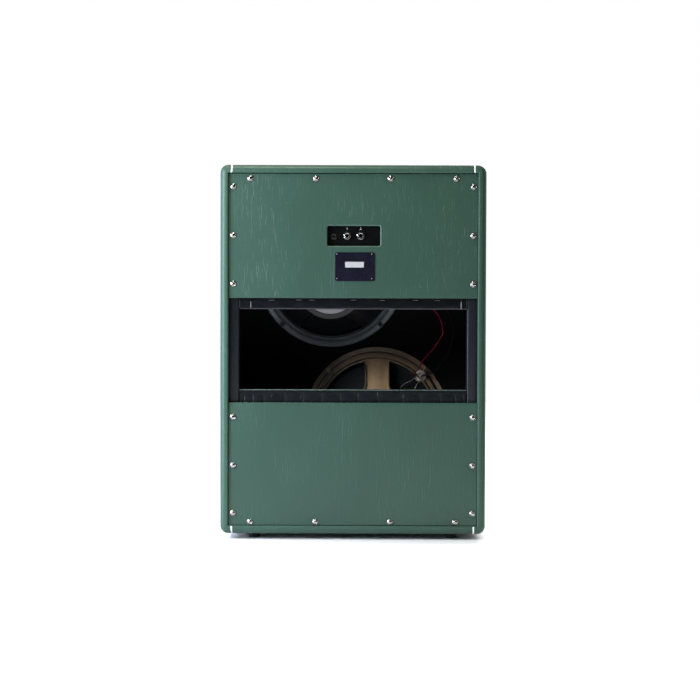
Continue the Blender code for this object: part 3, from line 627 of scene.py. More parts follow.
def section():
    """The shell's cross-section: (inset from the outside, depth from an end, end, groove, inward normal)."""
    b = BOARD
    points = [(b, 0.028, "rear", 0, (1, 0)), (b, INNER_R, "rear", 0, (1, 0))]
    for k in (1, 2, 3):
        a = rad(90 * k / 4)
        points.append((b - INNER_R + INNER_R * math.cos(a), INNER_R - INNER_R * math.sin(a), "rear", 0, (0, 1)))
    points.append((b - INNER_R, 0.0, "rear", 1, (0, 1)))
    for k in range(11):
        a = rad(90 * k / 10)
        points.append((EDGE_R - EDGE_R * math.sin(a), EDGE_R - EDGE_R * math.cos(a), "rear", 1, (math.sin(a), math.cos(a))))
    for s in (0.030, 0.080, 0.120):
        points.append((0.0, s, "rear", 1, (1, 0)))
    for s in (0.080, 0.030):
        points.append((0.0, s, "front", 1, (1, 0)))
    for k in range(9):
        a = rad(90 * k / 8)
        points.append((FRONT_R - FRONT_R * math.sin(a), FRONT_R - FRONT_R * math.cos(a), "front", 1, (math.cos(a), math.sin(a))))
    # the same arc runs the other way at the front: from the outside to the front face
    front = points[-9:]
    points[-9:] = [(n, s, e, g, (ny, nx)) for n, s, e, g, (nx, ny) in reversed(front)]
    points.append((b - INNER_R, 0.0, "front", 1, (0, 1)))
    for k in (1, 2, 3):
        a = rad(90 * k / 4)
        points.append((b - INNER_R + INNER_R * math.sin(a), INNER_R - INNER_R * math.cos(a), "front", 0, (0, 1)))
    points += [(b, INNER_R, "front", 0, (1, 0)), (b, 0.034, "front", 0, (1, 0))]
    return points


def stations():
    """Places round the outline from the middle of the bottom: (kind, data, groove, drift), with flat runs and corner arcs."""
    found = []

    def level(z, sz, xs, name):
        marks = []
        for side in (1, -1):
            for offset, deep in ((0.00185, 0), (0.00172, 1)):
                for way in (1, -1):
                    marks.append((side * PIPING_X + way * offset, deep, DRIFT[(name, side)]))
        plain = [(x, 0, 0.0) for x in xs if min(abs(abs(x) - PIPING_X), 9) > 0.0025]
        for x, deep, drift in sorted(marks + plain, key=lambda m: m[0] * sz * -1):
            found.append(("flat", (x, z, 0.0, -sz), deep, drift))

    def arc(sx, sz, start, end, steps=8):
        centre = (sx * (HALF - CORNER_R), (TOP - CORNER_R) if sz > 0 else (BOTTOM + CORNER_R))
        for k in range(steps + 1):
            a = rad(start + (end - start) * k / steps)
            found.append(("arc", (*centre, math.cos(a), math.sin(a), sx, sz), 0, 0.0))

    def side(sx, up):
        heights = [BOTTOM + 0.020, 0.12, 0.24, BEND_Z - 0.006, BEND_Z - 0.002, BEND_Z + 0.002, BEND_Z + 0.006, 0.46, 0.58, TOP - 0.020]
        for z in heights if up else reversed(heights):
            found.append(("flat", (sx * HALF, z, -sx, 0.0), 0, 0.0))

    across = [0.0, 0.06, 0.12, 0.18, 0.225]
    level(BOTTOM, -1, across, "bottom")
    found[:] = [f for f in found if f[1][0] >= 0]
    arc(1, -1, -90, 0)
    side(1, True)
    arc(1, 1, 0, 90)
    level(TOP, 1, sorted(set([-x for x in across] + across)), "top")
    arc(-1, 1, 90, 180)
    side(-1, False)
    arc(-1, -1, 180, 270)
    count = len(found)
    level(BOTTOM, -1, sorted(set([-x for x in across])), "bottom")
    found[count:] = [f for f in found[count:] if f[1][0] <= 0]
    return found


def inset(kind, data, n):
    """(x, z) of a station at an inset from the outside."""
    if kind == "flat":
        x, z, nx, nz = data
        return x + nx * n, z + nz * n
    cx, cz, ux, uz, sx, sz = data
    if n <= CORNER_R:
        return cx + ux * (CORNER_R - n), cz + uz * (CORNER_R - n)
    return cx - sx * (n - CORNER_R), cz - sz * (n - CORNER_R)


def shell():
    cross, around = section(), stations()
    places = [0.0]
    for p, q in zip(around, around[1:]):
        a, b = inset(p[0], p[1], 0.004), inset(q[0], q[1], 0.004)
        places.append(places[-1] + math.hypot(b[0] - a[0], b[1] - a[1]))
    lengths = [0.0]
    for p, q in zip(cross, cross[1:]):
        if p[2] == q[2]:
            lengths.append(lengths[-1] + math.hypot(q[0] - p[0], q[1] - p[1]))
        else:
            lengths.append(lengths[-1] + 0.340 - p[1] - q[1])
    verts, uvs = [], []
    for (kind, data, groove, drift), u in zip(around, places):
        for (n, s, end, open_, (nn, ns)), v in zip(cross, lengths):
            if groove and open_:
                n, s = n + nn * GROOVE, s + ns * GROOVE
            x, z = inset(kind, data, n)
            if end == "rear" and s < 0.02:
                x += drift * soft((n - 0.002) / 0.013)
            y = REAR - s if end == "rear" else front_at(z) + s
            verts.append((x, y, z))
            uvs.append((u, v))
    faces = ring_faces(len(around), len(cross))
    indices = [0] * len(faces)
    rows = len(cross)
    for i in range(len(around) - 1):
        a = i * rows
        faces.append((a + rows - 1, a + 2 * rows - 1, a + rows, a))
        indices.append(1)
    return build(
        "cabinet_shell",
        verts,
        faces,
        [GREEN, PAINTED],
        uvs=uvs,
        indices=indices,
        sharp=32,
        slot="green_vinyl",
        stands_for=("top_board", "bottom_board", "left_side_board", "right_side_board"),
    )


shell()


def piping(name, level, side):
    outer, way = (TOP, -1) if level == "top" else (BOTTOM, 1)
    path = []
    for n, s, end, open_, _ in section():
        if open_:
            z = outer + way * n
            path.append((n, s, end, z, REAR - s if end == "rear" else front_at(z) + s))
    first, last = path[0], path[-1]
    z0, z1 = outer + way * (BOARD - 0.0008), outer + way * (BOARD - 0.0008)
    path.insert(0, (BOARD - 0.0008, 0.0, "rear", z0, REAR))
    path.append((BOARD - 0.0008, 0.0, "front", z1, front_at(z1)))
    spots = [Vector((y, z)) for *_, z, y in path]
    shape = [(-1.5, -1.15), (-1.5, -0.20), (-1.34, 0.08), (-0.85, 0.31), (0.0, 0.38), (0.85, 0.31), (1.34, 0.08), (1.5, -0.20), (1.5, -1.15)]
    verts, uvs, along = [], [], 0.0
    for i, spot in enumerate(spots):
        a, b = spots[max(i - 1, 0)], spots[min(i + 1, len(spots) - 1)]
        tangent = (b - a).normalized()
        normal = Vector((tangent.y, -tangent.x)) * (1 if way < 0 else -1)
        along += (spot - spots[i - 1]).length if i else 0.0
        n, s, end = path[i][:3]
        drift = DRIFT[(level, side)] * soft((n - 0.002) / 0.013) if end == "rear" and s < 0.02 else 0.0
        for w, h in shape:
            verts.append((side * PIPING_X + drift + w * MM, spot.x + normal.x * h * MM, spot.y + normal.y * h * MM))
    count = len(shape)
    faces = ring_faces(len(spots), count, False, True)
    faces += [tuple(range(count))[::-1], tuple((len(spots) - 1) * count + k for k in range(count))]
    return build(name, verts, faces, [WHITE], slot="white_vinyl", stands_for=(name,), sharp=45)


for level in ("top", "bottom"):
    for side, sign in (("left", 1), ("right", -1)):
        node = f"{level}_{side}_piping"
        strip = piping(node, level, sign)
        strip.name = f"{level}_{side}_piping_bead"


# ---------------------------------------------------------------- panels and battens


def spaced(marks, step):
    marks = sorted(set(round(m, 6) for m in marks))
    out = [marks[0]]
    for a, b in zip(marks, marks[1:]):
        count = max(1, math.ceil((b - a) / step - 1e-6))
        out += [a + (b - a) * k / count for k in range(1, count + 1)]
    return out


def slab(name, x0, x1, z0, z1, y0, y1, edge, looks, marks=((), ()), step=0.008, lift=None, hole=None, backing=0, rim=0, **rest):
    """A board facing +Y, y0 at its rear and y1 in front, with round edges. lift(x, z) moves its face out or in."""
    cx, cz, hx, hz = (x0 + x1) / 2, (z0 + z1) / 2, (x1 - x0) / 2, (z1 - z0) / 2
    curve = [0.0, edge * 0.25, edge * 0.5, edge * 0.75, edge]
    xs = [cx + s * (hx - edge + e) for s in (1, -1) for e in curve]
    zs = [cz + s * (hz - edge + e) for s in (1, -1) for e in curve]
    inner = [x for x in marks[0] if x0 + edge < x < x1 - edge]
    upper = [z for z in marks[1] if z0 + edge < z < z1 - edge]
    ring = None
    if hole:
        hcx, hcz, hw, hh, hr = hole
        margin = 0.007
        ring = (hw / 2 + margin, hh / 2 + margin)
        for centre, half, wide, into in ((hcx, ring[0], hw / 2, inner), (hcz, ring[1], hh / 2, upper)):
            for s in (1, -1):
                into.append(centre + s * half)
                for share in (0.35, 0.7, 1.0):
                    into.append(centre + s * half * (1 - share * hr / wide))
    xs, zs = spaced(xs + inner, step), spaced(zs + upper, step)
    near = lambda a, b: abs(a - b) < 2e-6

    def put(x, z, back):
        ex, ez = max(abs(x - cx) - (hx - edge), 0.0), max(abs(z - cz) - (hz - edge), 0.0)
        reach = max(ex, ez)
        if reach > 1e-9 and not back:
            a = reach / edge * math.pi / 2
            d = Vector((ex, ez)).normalized() * edge * math.sin(a)
            nx = x if ex == 0 else cx + math.copysign(hx - edge + d.x, x - cx)
            nz = z if ez == 0 else cz + math.copysign(hz - edge + d.y, z - cz)
            return (nx, y0 - edge * (1 - math.cos(a)) + (lift(x, z) * (1 - reach / edge) if lift else 0.0), nz)
        if back:
            if ex > 0 and ez > 0:
                d = Vector((ex, ez)).normalized() * edge * (reach / edge)
                x = cx + math.copysign(hx - edge + d.x, x - cx)
                z = cz + math.copysign(hz - edge + d.y, z - cz)
            return (x, y1, z)
        return (x, y0 + (lift(x, z) if lift else 0.0), z)

    verts, uvs, faces, indices = [], [], [], []
    columns = len(xs)
    for back in (False, True):
        for z in zs:
            for x in xs:
                verts.append(put(x, z, back))
                uvs.append((x, z + (0.5 if back else 0.0)))
    size = columns * len(zs)

    def gone(i, k):
        if not hole:
            return False
        mx, mz = (xs[k] + xs[k + 1]) / 2 - hcx, (zs[i] + zs[i + 1]) / 2 - hcz
        return abs(mx) < ring[0] and abs(mz) < ring[1]

    for i in range(len(zs) - 1):
        for k in range(columns - 1):
            if gone(i, k):
                continue
            a = i * columns + k
            faces.append((a, a + 1, a + 1 + columns, a + columns))
            indices.append(0)
            b = a + size
            faces.append((b + columns, b + 1 + columns, b + 1, b))
            indices.append(backing)
    border = (
        [(0, k) for k in range(columns - 1)]
        + [(i, columns - 1) for i in range(len(zs) - 1)]
        + [(len(zs) - 1, k) for k in range(columns - 1, 0, -1)]
        + [(i, 0) for i in range(len(zs) - 1, 0, -1)]
    )
    loop = [i * columns + k for i, k in border]
    for a, b in zip(loop, loop[1:] + loop[:1]):
        faces.append((a, b, b + size, a + size))
        indices.append(0)
    if hole:
        picked = [k for k, x in enumerate(xs) if hcx - ring[0] - 2e-6 < x < hcx + ring[0] + 2e-6]
        levels = [i for i, z in enumerate(zs) if hcz - ring[1] - 2e-6 < z < hcz + ring[1] + 2e-6]
        walk = (
            [(levels[0], k) for k in picked[:-1]]
            + [(i, picked[-1]) for i in levels[:-1]]
            + [(levels[-1], k) for k in picked[:0:-1]]
            + [(i, picked[0]) for i in levels[:0:-1]]
        )
        inner_edge = 0.0018
        rows = [(0.0032, y0)]
        for q in range(5):
            a = rad(90 * q / 4)
            rows.append((inner_edge * (1 - math.sin(a)), y0 - inner_edge * (1 - math.cos(a))))
        rows += [(0.0, y1 + 0.0006), (0.0006, y1)]
        start = len(verts)
        for grow, y in rows:
            for i, k in walk:
                px = (xs[k] - hcx) / ring[0] * (hw / 2)
                pz = (zs[i] - hcz) / ring[1] * (hh / 2)
                qx, qz = max(-(hw / 2 - hr), min(hw / 2 - hr, px)), max(-(hh / 2 - hr), min(hh / 2 - hr, pz))
                d = Vector((px - qx, pz - qz))
                if d.length > 1e-9:
                    d = d.normalized() * (hr + grow)
                verts.append((hcx + qx + d.x, y, hcz + qz + d.y))
                uvs.append((hcx + qx + d.x, hcz + qz + d.y + (y0 - y)))
        count = len(walk)
        outer = [i * columns + k for i, k in walk]
        chain = [outer] + [[start + r * count + m for m in range(count)] for r in range(len(rows))] + [[v + size for v in outer]]
        for n, (one, two) in enumerate(zip(chain, chain[1:])):
            for m in range(count):
                faces.append((one[m], one[(m + 1) % count], two[(m + 1) % count], two[m]))
                # The cutout's rounded edge and wall take the rim material, a painted highlight.
                indices.append(backing if n == len(chain) - 2 else rim if n >= 2 else 0)
    return build(name, verts, faces, looks, uvs=uvs, indices=indices, sharp=40, **rest)


for level, (z0, z1) in (("upper", UPPER_Z), ("lower", LOWER_Z)):
    row_z, column_z = SCREWS[level]
    spots = [(x, row_z) for x in ROW_X] + [(s * COLUMN_X, z) for s in (1, -1) for z in column_z]

    def dimple(x, z, spots=spots):
        away = min(math.hypot(x - sx, z - sz) for sx, sz in spots)
        press = 0.00045 * (1 - soft((away - 0.0055) / 0.0060))
        wave = 0.00006 * math.sin(x * 41 + 1.3) * math.sin(z * 33 + 0.4)
        return -press + wave

    offsets = (-0.0115, -0.0090, -0.0070, -0.0052, 0.0, 0.0052, 0.0070, 0.0090, 0.0115)
    marks = (
        [x + o for x in (*ROW_X, COLUMN_X, -COLUMN_X) for o in offsets],
        [z + o for z in (row_z, *column_z) for o in offsets],
    )
    slab(
        f"{level}_back_panel_wrapped",
        -PANEL_HALF,
        PANEL_HALF,
        z0,
        z1,
        PANEL_REAR,
        PANEL_FRONT,
        0.0011,
        # Panels in the darker copy of the green vinyl (painted shade), the cutout's edge in the lighter one (painted
        # highlight).
        [PANEL_GREEN_PAINTED_SHADE, PAINTED, CUTOUT_EDGE_PAINTED_HIGHLIGHT],
        marks=marks,
        step=0.010,
        lift=dimple,
        hole=CUTOUT if level == "upper" else None,
        backing=1,
        rim=2,
        slot="green_vinyl",
        stands_for=(f"{level}_back_panel",),
    )

for side, sign in (("left", 1), ("right", -1)):
    edges = sorted((sign * (INNER - 0.0003), sign * (INNER - 0.0003 - 0.019)))
    round_box(
        f"{side}_rear_batten_wrapped",
        (edges[0], BATTEN_REAR - 0.030, BOTTOM + BOARD + 0.0003),
        (edges[1], BATTEN_REAR, TOP - BOARD - 0.0003),
        0.0022,
        [DARK_SIDE_PAINTED_LIGHT],
        segments=4,
        slot="dark_vinyl",
        stands_for=(f"{side}_rear_batten",),
    )

BETWEEN = INNER - 0.0003 - 0.019 - 0.0003
PLEATS = (0.2100, 0.1929, 0.1717, 0.1311, 0.0963, 0.0596, 0.0248, -0.0100, -0.0476, -0.0968, -0.1300, -0.1683, -0.1972, -0.2120)


def pleated(x, z):
    """The lower batten's cloth is gathered below its middle, between staples."""
    share = soft((0.2815 - z) / 0.009) * soft((z - 0.2560) / 0.006)
    inside = [(a, b) for a, b in zip(PLEATS, PLEATS[1:]) if b <= x <= a]
    if not inside:
        return 0.0
    a, b = inside[0]
    t = (x - b) / (a - b)
    swell = math.sin(math.pi * min(1.0, max(0.0, t))) ** 0.45
    return (0.0013 * swell - 0.0009) * share


STAPLES_UP = (0.1566, 0.1044, 0.0794, -0.0007, -0.0557, -0.1203, -0.1617)


def pulled(x, z):
    """The upper batten's cloth is drawn in at its staples."""
    dip = sum(math.exp(-(((x - s) / 0.007) ** 2) - ((z - 0.4605) / 0.003) ** 2) for s in STAPLES_UP)
    slack = 0.00035 * math.sin(x * 95 + 0.6) * soft((0.4640 - z) / 0.012)
    return slack - 0.0006 * min(1.0, dip)


slab(
    "upper_opening_batten_wrapped", -BETWEEN, BETWEEN, 0.4428, 0.4850, BATTEN_REAR, BATTEN_REAR - 0.018, 0.0022, [DARK_UPPER_PAINTED_SHADE_AND_HIGHLIGHT],
    marks=([s + o for s in STAPLES_UP for o in (-0.006, 0.0, 0.006)], (0.4500, 0.4560, 0.4585, 0.4605, 0.4625)),
    step=0.006, lift=pulled, slot="dark_vinyl", stands_for=("upper_opening_batten",),
)
slab(
    "lower_opening_batten_wrapped", -BETWEEN, BETWEEN, 0.2430, 0.2882, BATTEN_REAR, BATTEN_REAR - 0.018, 0.0024, [DARK_LOWER_PAINTED_SHADE_AND_HIGHLIGHT],
    marks=([p + o for p in PLEATS for o in (-0.002, -0.0007, 0.0, 0.0007, 0.002)], (0.2700, 0.2740, 0.2780, 0.2815)),
    step=0.006, lift=pleated, slot="dark_vinyl", stands_for=("lower_opening_batten",),
)


# ---------------------------------------------------------------- fasteners


def ready_mesh(obj):
    """Takes the mesh of an object that was only made for it."""
    mesh = obj.data
    bpy.data.objects.remove(obj)
    return mesh


def screw_mesh():
    """A domed cross-head screw in a cup washer, with its threaded shank."""
    cup = [(0.0042, 0.0007), (0.0044, 0.0015), (0.0047, 0.0019), (0.0051, 0.0018), (0.0056, 0.0013), (0.0060, 0.0006), (0.00620, 0.0001), (0.0060, -0.0003), (0.0042, -0.0003)]
    washer = turned("cup", rounded(cup + [cup[0]], 0.0002, 1)[:-1], 40, [DARK_NICKEL], body=None, ring=True)
    shank = [(0.0, -0.0290), (0.0006, -0.0280), (0.0019, -0.0245)]
    for k in range(12):
        h = -0.0240 + k * 0.0017
        shank += [(0.00150, h), (0.00200, h + 0.0005), (0.00150, h + 0.0010)]
    head = shank + [(0.0019, -0.0030), (0.0038, 0.0011), (0.00415, 0.0014), (0.00405, 0.0018), (0.0036, 0.0023), (0.0028, 0.00275), (0.0018, 0.0030), (0.0008, 0.0031), (0.0, 0.00312)]
    body = turned("head", head, 40, [DARK_NICKEL], body=None)
    cutters = []
    for turn in (0.0, math.pi / 2):
        bm = bmesh.new()
        wide, deep = 0.00055, 0.0016
        tops = [(-0.0024, 0.0036), (0.0024, 0.0036), (0.0009, 0.0031 - deep), (-0.0009, 0.0031 - deep)]
        near = [bm.verts.new((x, -wide if h > 0.003 else -wide * 0.6, h)) for x, h in tops]
        far = [bm.verts.new((x, wide if h > 0.003 else wide * 0.6, h)) for x, h in tops]
        bm.faces.new(near)
        bm.faces.new(far[::-1])
        for k in range(4):
            bm.faces.new((near[k], far[k], far[(k + 1) % 4], near[(k + 1) % 4]))
        bmesh.ops.recalc_face_normals(bm, faces=bm.faces)
        mesh = bpy.data.meshes.new("cross")
        bm.to_mesh(mesh)
        bm.free()
        cutter = bpy.data.objects.new("cross", mesh)
        cutter.rotation_euler.z = turn
        bpy.context.scene.collection.objects.link(cutter)
        cutters.append(cutter)
    subtract(body, cutters)
    bm = bmesh.new()
    bm.from_mesh(body.data)
    bm.from_mesh(washer.data)
    mesh = bpy.data.meshes.new("panel_screw")
    bm.to_mesh(mesh)
    bm.free()
    mesh.materials.append(DARK_NICKEL)
    mesh.shade_smooth()
    mesh.set_sharp_from_angle(angle=rad(35))
    bpy.data.objects.remove(body)
    bpy.data.objects.remove(washer)
    return mesh


def copy_of(mesh, name, place, body="cabinet", stands_for=()):
    made = bpy.data.objects.new(name, mesh)
    bpy.context.scene.collection.objects.link(made)
    made.matrix_world = place
    return settle(made, body, stands_for)


SCREW = screw_mesh()
dice = random.Random(12)
for level, (row_z, column_z) in SCREWS.items():
    spots = [(f"row_screw_{n}", x, row_z) for n, x in enumerate(sorted(ROW_X, reverse=True), 1)]
    for side, sign in (("left", 1), ("right", -1)):
        spots += [(f"{side}_screw_{n}", sign * COLUMN_X, z) for n, z in enumerate(column_z, 1)]
    for tag, x, z in spots:
        tip = Matrix.Rotation(rad(dice.uniform(-2.2, 2.2)), 4, "X") @ Matrix.Rotation(rad(dice.uniform(-2.2, 2.2)), 4, "Y")
        place = facing((x, PANEL_REAR - 0.00012, z)) @ tip @ Matrix.Rotation(dice.uniform(0, math.pi / 2), 4, "Z")
        copy_of(SCREW, f"{level}_panel_{tag}_nickel", place, stands_for=(f"{level}_panel_{tag}",))


def staple_mesh(width=0.0105, wire=0.00045):
    """A staple's crown, with its legs going in."""
    points = [(-width / 2, 0, -0.004), (-width / 2, 0, -0.0004), (-width / 2 + 0.0006, 0, wire), (width / 2 - 0.0006, 0, wire), (width / 2, 0, -0.0004), (width / 2, 0, -0.004)]
    # The staples are drawn in darkened steel: painted shade.
    return ready_mesh(tube("staple", points, wire, DARKENED_STEEL, body=None, sides=8))


STAPLE = staple_mesh()
for n, x in enumerate(STAPLES_UP, 1):
    place = facing((x, BATTEN_REAR - 0.0002, 0.4606 + dice.uniform(-0.0006, 0.0006))) @ Matrix.Rotation(rad(dice.uniform(-5, 5)), 4, "Z")
    copy_of(STAPLE, f"upper_batten_staple_{n}", place)
for n, (x, z) in enumerate(((-0.0100, 0.2775), (-0.0476, 0.2800), (-0.0968, 0.2748), (0.1010, 0.2720), (0.1560, 0.2765)), 1):
    place = facing((x, BATTEN_REAR - 0.0001, z)) @ Matrix.Rotation(rad(80 + dice.uniform(-12, 12)), 4, "Z")
    copy_of(STAPLE, f"lower_batten_staple_{n}", place @ Matrix.Scale(0.55, 4))

# The cloth's folded ends on the upper batten, with their pale cut edges
for side, sign in (("left", 1), ("right", -1)):
    x_in, x_out = sign * (0.1971 if sign > 0 else 0.2080), sign * 0.2180
    low, high = min(x_in, x_out), max(x_in, x_out)
    plate(
        f"upper_batten_fold_{side}",
        lambda grow, low=low, high=high: outline((low + high) / 2, 0.4543, high - low, 0.0214, 0.0012, 3, grow),
        [(0.0, BATTEN_REAR - 0.0003), (0.0, BATTEN_REAR + 0.0008), (-0.0004, BATTEN_REAR + 0.0012)],
        [DARK_UPPER_PAINTED_SHADE_AND_HIGHLIGHT],
    )
    edge_x = x_in + sign * -0.0002
    round_box(
        f"upper_batten_cut_edge_{side}",
        (edge_x - 0.0006, BATTEN_REAR - 0.0002, 0.4444),
        (edge_x + 0.0006, BATTEN_REAR + 0.0010, 0.4575),
        0.0003,
        [BACKING],
        segments=2,
    )
    round_box(
        f"upper_batten_tucked_edge_{side}",
        (x_out - 0.0005, BATTEN_REAR - 0.0002, 0.4440),
        (x_out + 0.0005, BATTEN_REAR + 0.0010, 0.4640),
        0.0003,
        [WORN],
        segments=2,
    )

# ---------------------------------------------------------------- jack plate, sockets, rating plate

PLATE_BACK = BATTEN_REAR
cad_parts["jack_plate"].data.materials.clear()
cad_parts["jack_plate"].data.materials.append(POWDER)


def hex_nut(name, flats, height, bore, place, look=CHROME, steps=72, **rest):
    rows = []

    def reach(k):
        a = 2 * math.pi * k / steps
        away = (a + math.pi / 6) % (math.pi / 3) - math.pi / 6
        return flats / 2 / math.cos(away)

    crown = flats / 2 * 1.01
    rows.append([(bore, 0.0)] * steps)
    rows.append([(reach(k) - 0.0002, 0.0) for k in range(steps)])
    rows.append([(reach(k), 0.0002) for k in range(steps)])
    rows.append([(reach(k), height - max(0.0, reach(k) - crown) * 0.6 - 0.0001) for k in range(steps)])
    rows.append([(min(reach(k), crown), height) for k in range(steps)])
    rows.append([(bore + 0.0004, height)] * steps)
    rows.append([(bore, height - 0.0004)] * steps)
    verts = []
    for row in rows:
        for k, (r, h) in enumerate(row):
            a = 2 * math.pi * k / steps
            verts.append((r * math.cos(a), r * math.sin(a), h))
    faces = ring_faces(len(rows), steps, True, True)
    return build(name, verts, faces, [look], place=place, sharp=28, **rest)


for n, (x, z) in enumerate(JACKS, 1):
    place = facing((x, PLATE_BACK, z))
    turned(
        f"jack_{n}_washer",
        rounded([(0.0048, 0.0), (0.0074, 0.0), (0.0074, 0.0007), (0.0048, 0.0007)], 0.0002, 2),
        48, [CHROME], ring=True, place=place,
    )
    hex_nut(f"jack_{n}_nut", 0.0126, 0.0031, 0.00455, place @ Matrix.Translation((0, 0, 0.0007)) @ Matrix.Rotation(rad(9 if n == 1 else 22), 4, "Z"))
    bush = [(0.00325, -0.0210), (0.00325, 0.0031), (0.0037, 0.0040), (0.0043, 0.0042), (0.0045, 0.0038)]
    for k in range(4):
        h = 0.0034 - k * 0.0009
        bush += [(0.0045, h), (0.0042, h - 0.00045)]
    bush += [(0.0042, -0.0030), (0.0042, -0.0210)]
    turned(
        f"jack_{n}_bush", bush, 40, [CHROME, BORE], ring=True, place=place,
        indices=[1] + [0] * (len(bush) - 2) + [1], slot="nickel",
    )
    housing = round_box(
        f"jack_{n}_housing",
        (x - 0.0085, 0.1519 - 0.025, z - 0.0085),
        (x + 0.0085, 0.1519, z + 0.0085),
        0.0010, [PLASTIC, BORE], segments=2, slot="black_plastic", stands_for=(f"jack_socket_{n}",),
    )
    cutter = turned("bore", [(0.0, -0.0225), (0.0046, -0.0225), (0.0046, 0.004), (0.0, 0.004)], 32, [BORE], body=None, place=place)
    subtract(housing, [cutter])
    for k, dx in enumerate((-0.004, 0.004), 1):
        round_box(
            f"jack_{n}_lug_{k}",
            (x + dx - 0.0011, 0.1519 - 0.0256, z + dx - 0.0008),
            (x + dx + 0.0011, 0.1519 - 0.0246, z + dx + 0.0008),
            0.0002, [STEEL_WIRE], segments=1,
        )

socket = round_box(
    "dc_socket_body",
    (DC[0] - 0.0045, 0.1545 - 0.0140, DC[1] - 0.00525),
    (DC[0] + 0.0045, 0.1545, DC[1] + 0.00525),
    0.0004, [SOCKET_GREY], segments=2, slot="black_plastic", stands_for=("dc_socket",),
)
well = turned("well", [(0.0, -0.0090), (0.0030, -0.0090), (0.0030, -0.0003), (0.0034, 0.0002), (0.0034, 0.003), (0.0, 0.003)], 32, [SOCKET_GREY], body=None, place=facing((DC[0], 0.1545, DC[1])))
subtract(socket, [well])
turned(
    "dc_socket_pin",
    [(0.0, -0.0090), (0.00100, -0.0090), (0.00100, -0.0009), (0.00085, -0.0004), (0.0005, -0.0001), (0.0, 0.0)],
    20, [DARKENED_STEEL], place=facing((DC[0], 0.1545, DC[1])),
)


def numeral(text, x, z, height):
    data = bpy.data.curves.new(f"numeral_{text}", "FONT")
    data.body, data.size, data.align_x, data.align_y = text, height, "CENTER", "CENTER"
    data.extrude = 0.00004
    made = bpy.data.objects.new(f"numeral_{text}", data)
    bpy.context.scene.collection.objects.link(made)
    # Read from behind the cabinet, where +X is to the left
    made.matrix_world = Matrix.Translation((x, PLATE_BACK + 0.00006, z)) @ Matrix.Rotation(math.pi, 4, "Z") @ Matrix.Rotation(math.pi / 2, 4, "X")
    bpy.context.view_layer.update()
    mesh = bpy.data.meshes.new_from_object(made.evaluated_get(bpy.context.evaluated_depsgraph_get()))
    place = made.matrix_world.copy()
    bpy.data.objects.remove(made)
    mesh.materials.clear()
    flat = bpy.data.objects.new(f"jack_numeral_{text}", mesh)
    mesh.materials.append(PRINT)
    bpy.context.scene.collection.objects.link(flat)
    flat.matrix_world = place
    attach(flat, "cabinet")


numeral("1", JACKS[0][0], 0.5975, 0.0062)
numeral("2", JACKS[1][0], 0.5975, 0.0062)

plate(
    "rating_plate_blank",
    lambda grow: outline(*PLATE, 6, grow),
    [(0.0, 0.1663), (0.0, 0.1668), (-0.0002, 0.1671)],
    [NAVY], slot="navy_plate", stands_for=("rating_plate",),
)
plate(
    "rating_plate_sticker",
    lambda grow: outline(-0.0024, 0.5280, 0.0357, 0.0108, 0.0006, 3, grow),
    [(0.0, 0.16705), (0.0, 0.16717), (-0.00005, 0.16722)],
    [STICKER],
)
RIVET = ready_mesh(turned("rivet", [(0.0013, -0.0002), (0.0013, 0.0001), (0.00115, 0.0004), (0.0008, 0.0006), (0.0004, 0.00070), (0.0, 0.00072)], 20, [DARKENED_STEEL], body=None))
for n, (x, z) in enumerate(((0.0312, 0.5481), (-0.0358, 0.5481), (0.0312, 0.5015), (-0.0358, 0.5015)), 1):
    copy_of(RIVET, f"rating_plate_rivet_{n}", facing((x, 0.1671, z)))

# ---------------------------------------------------------------- drivers


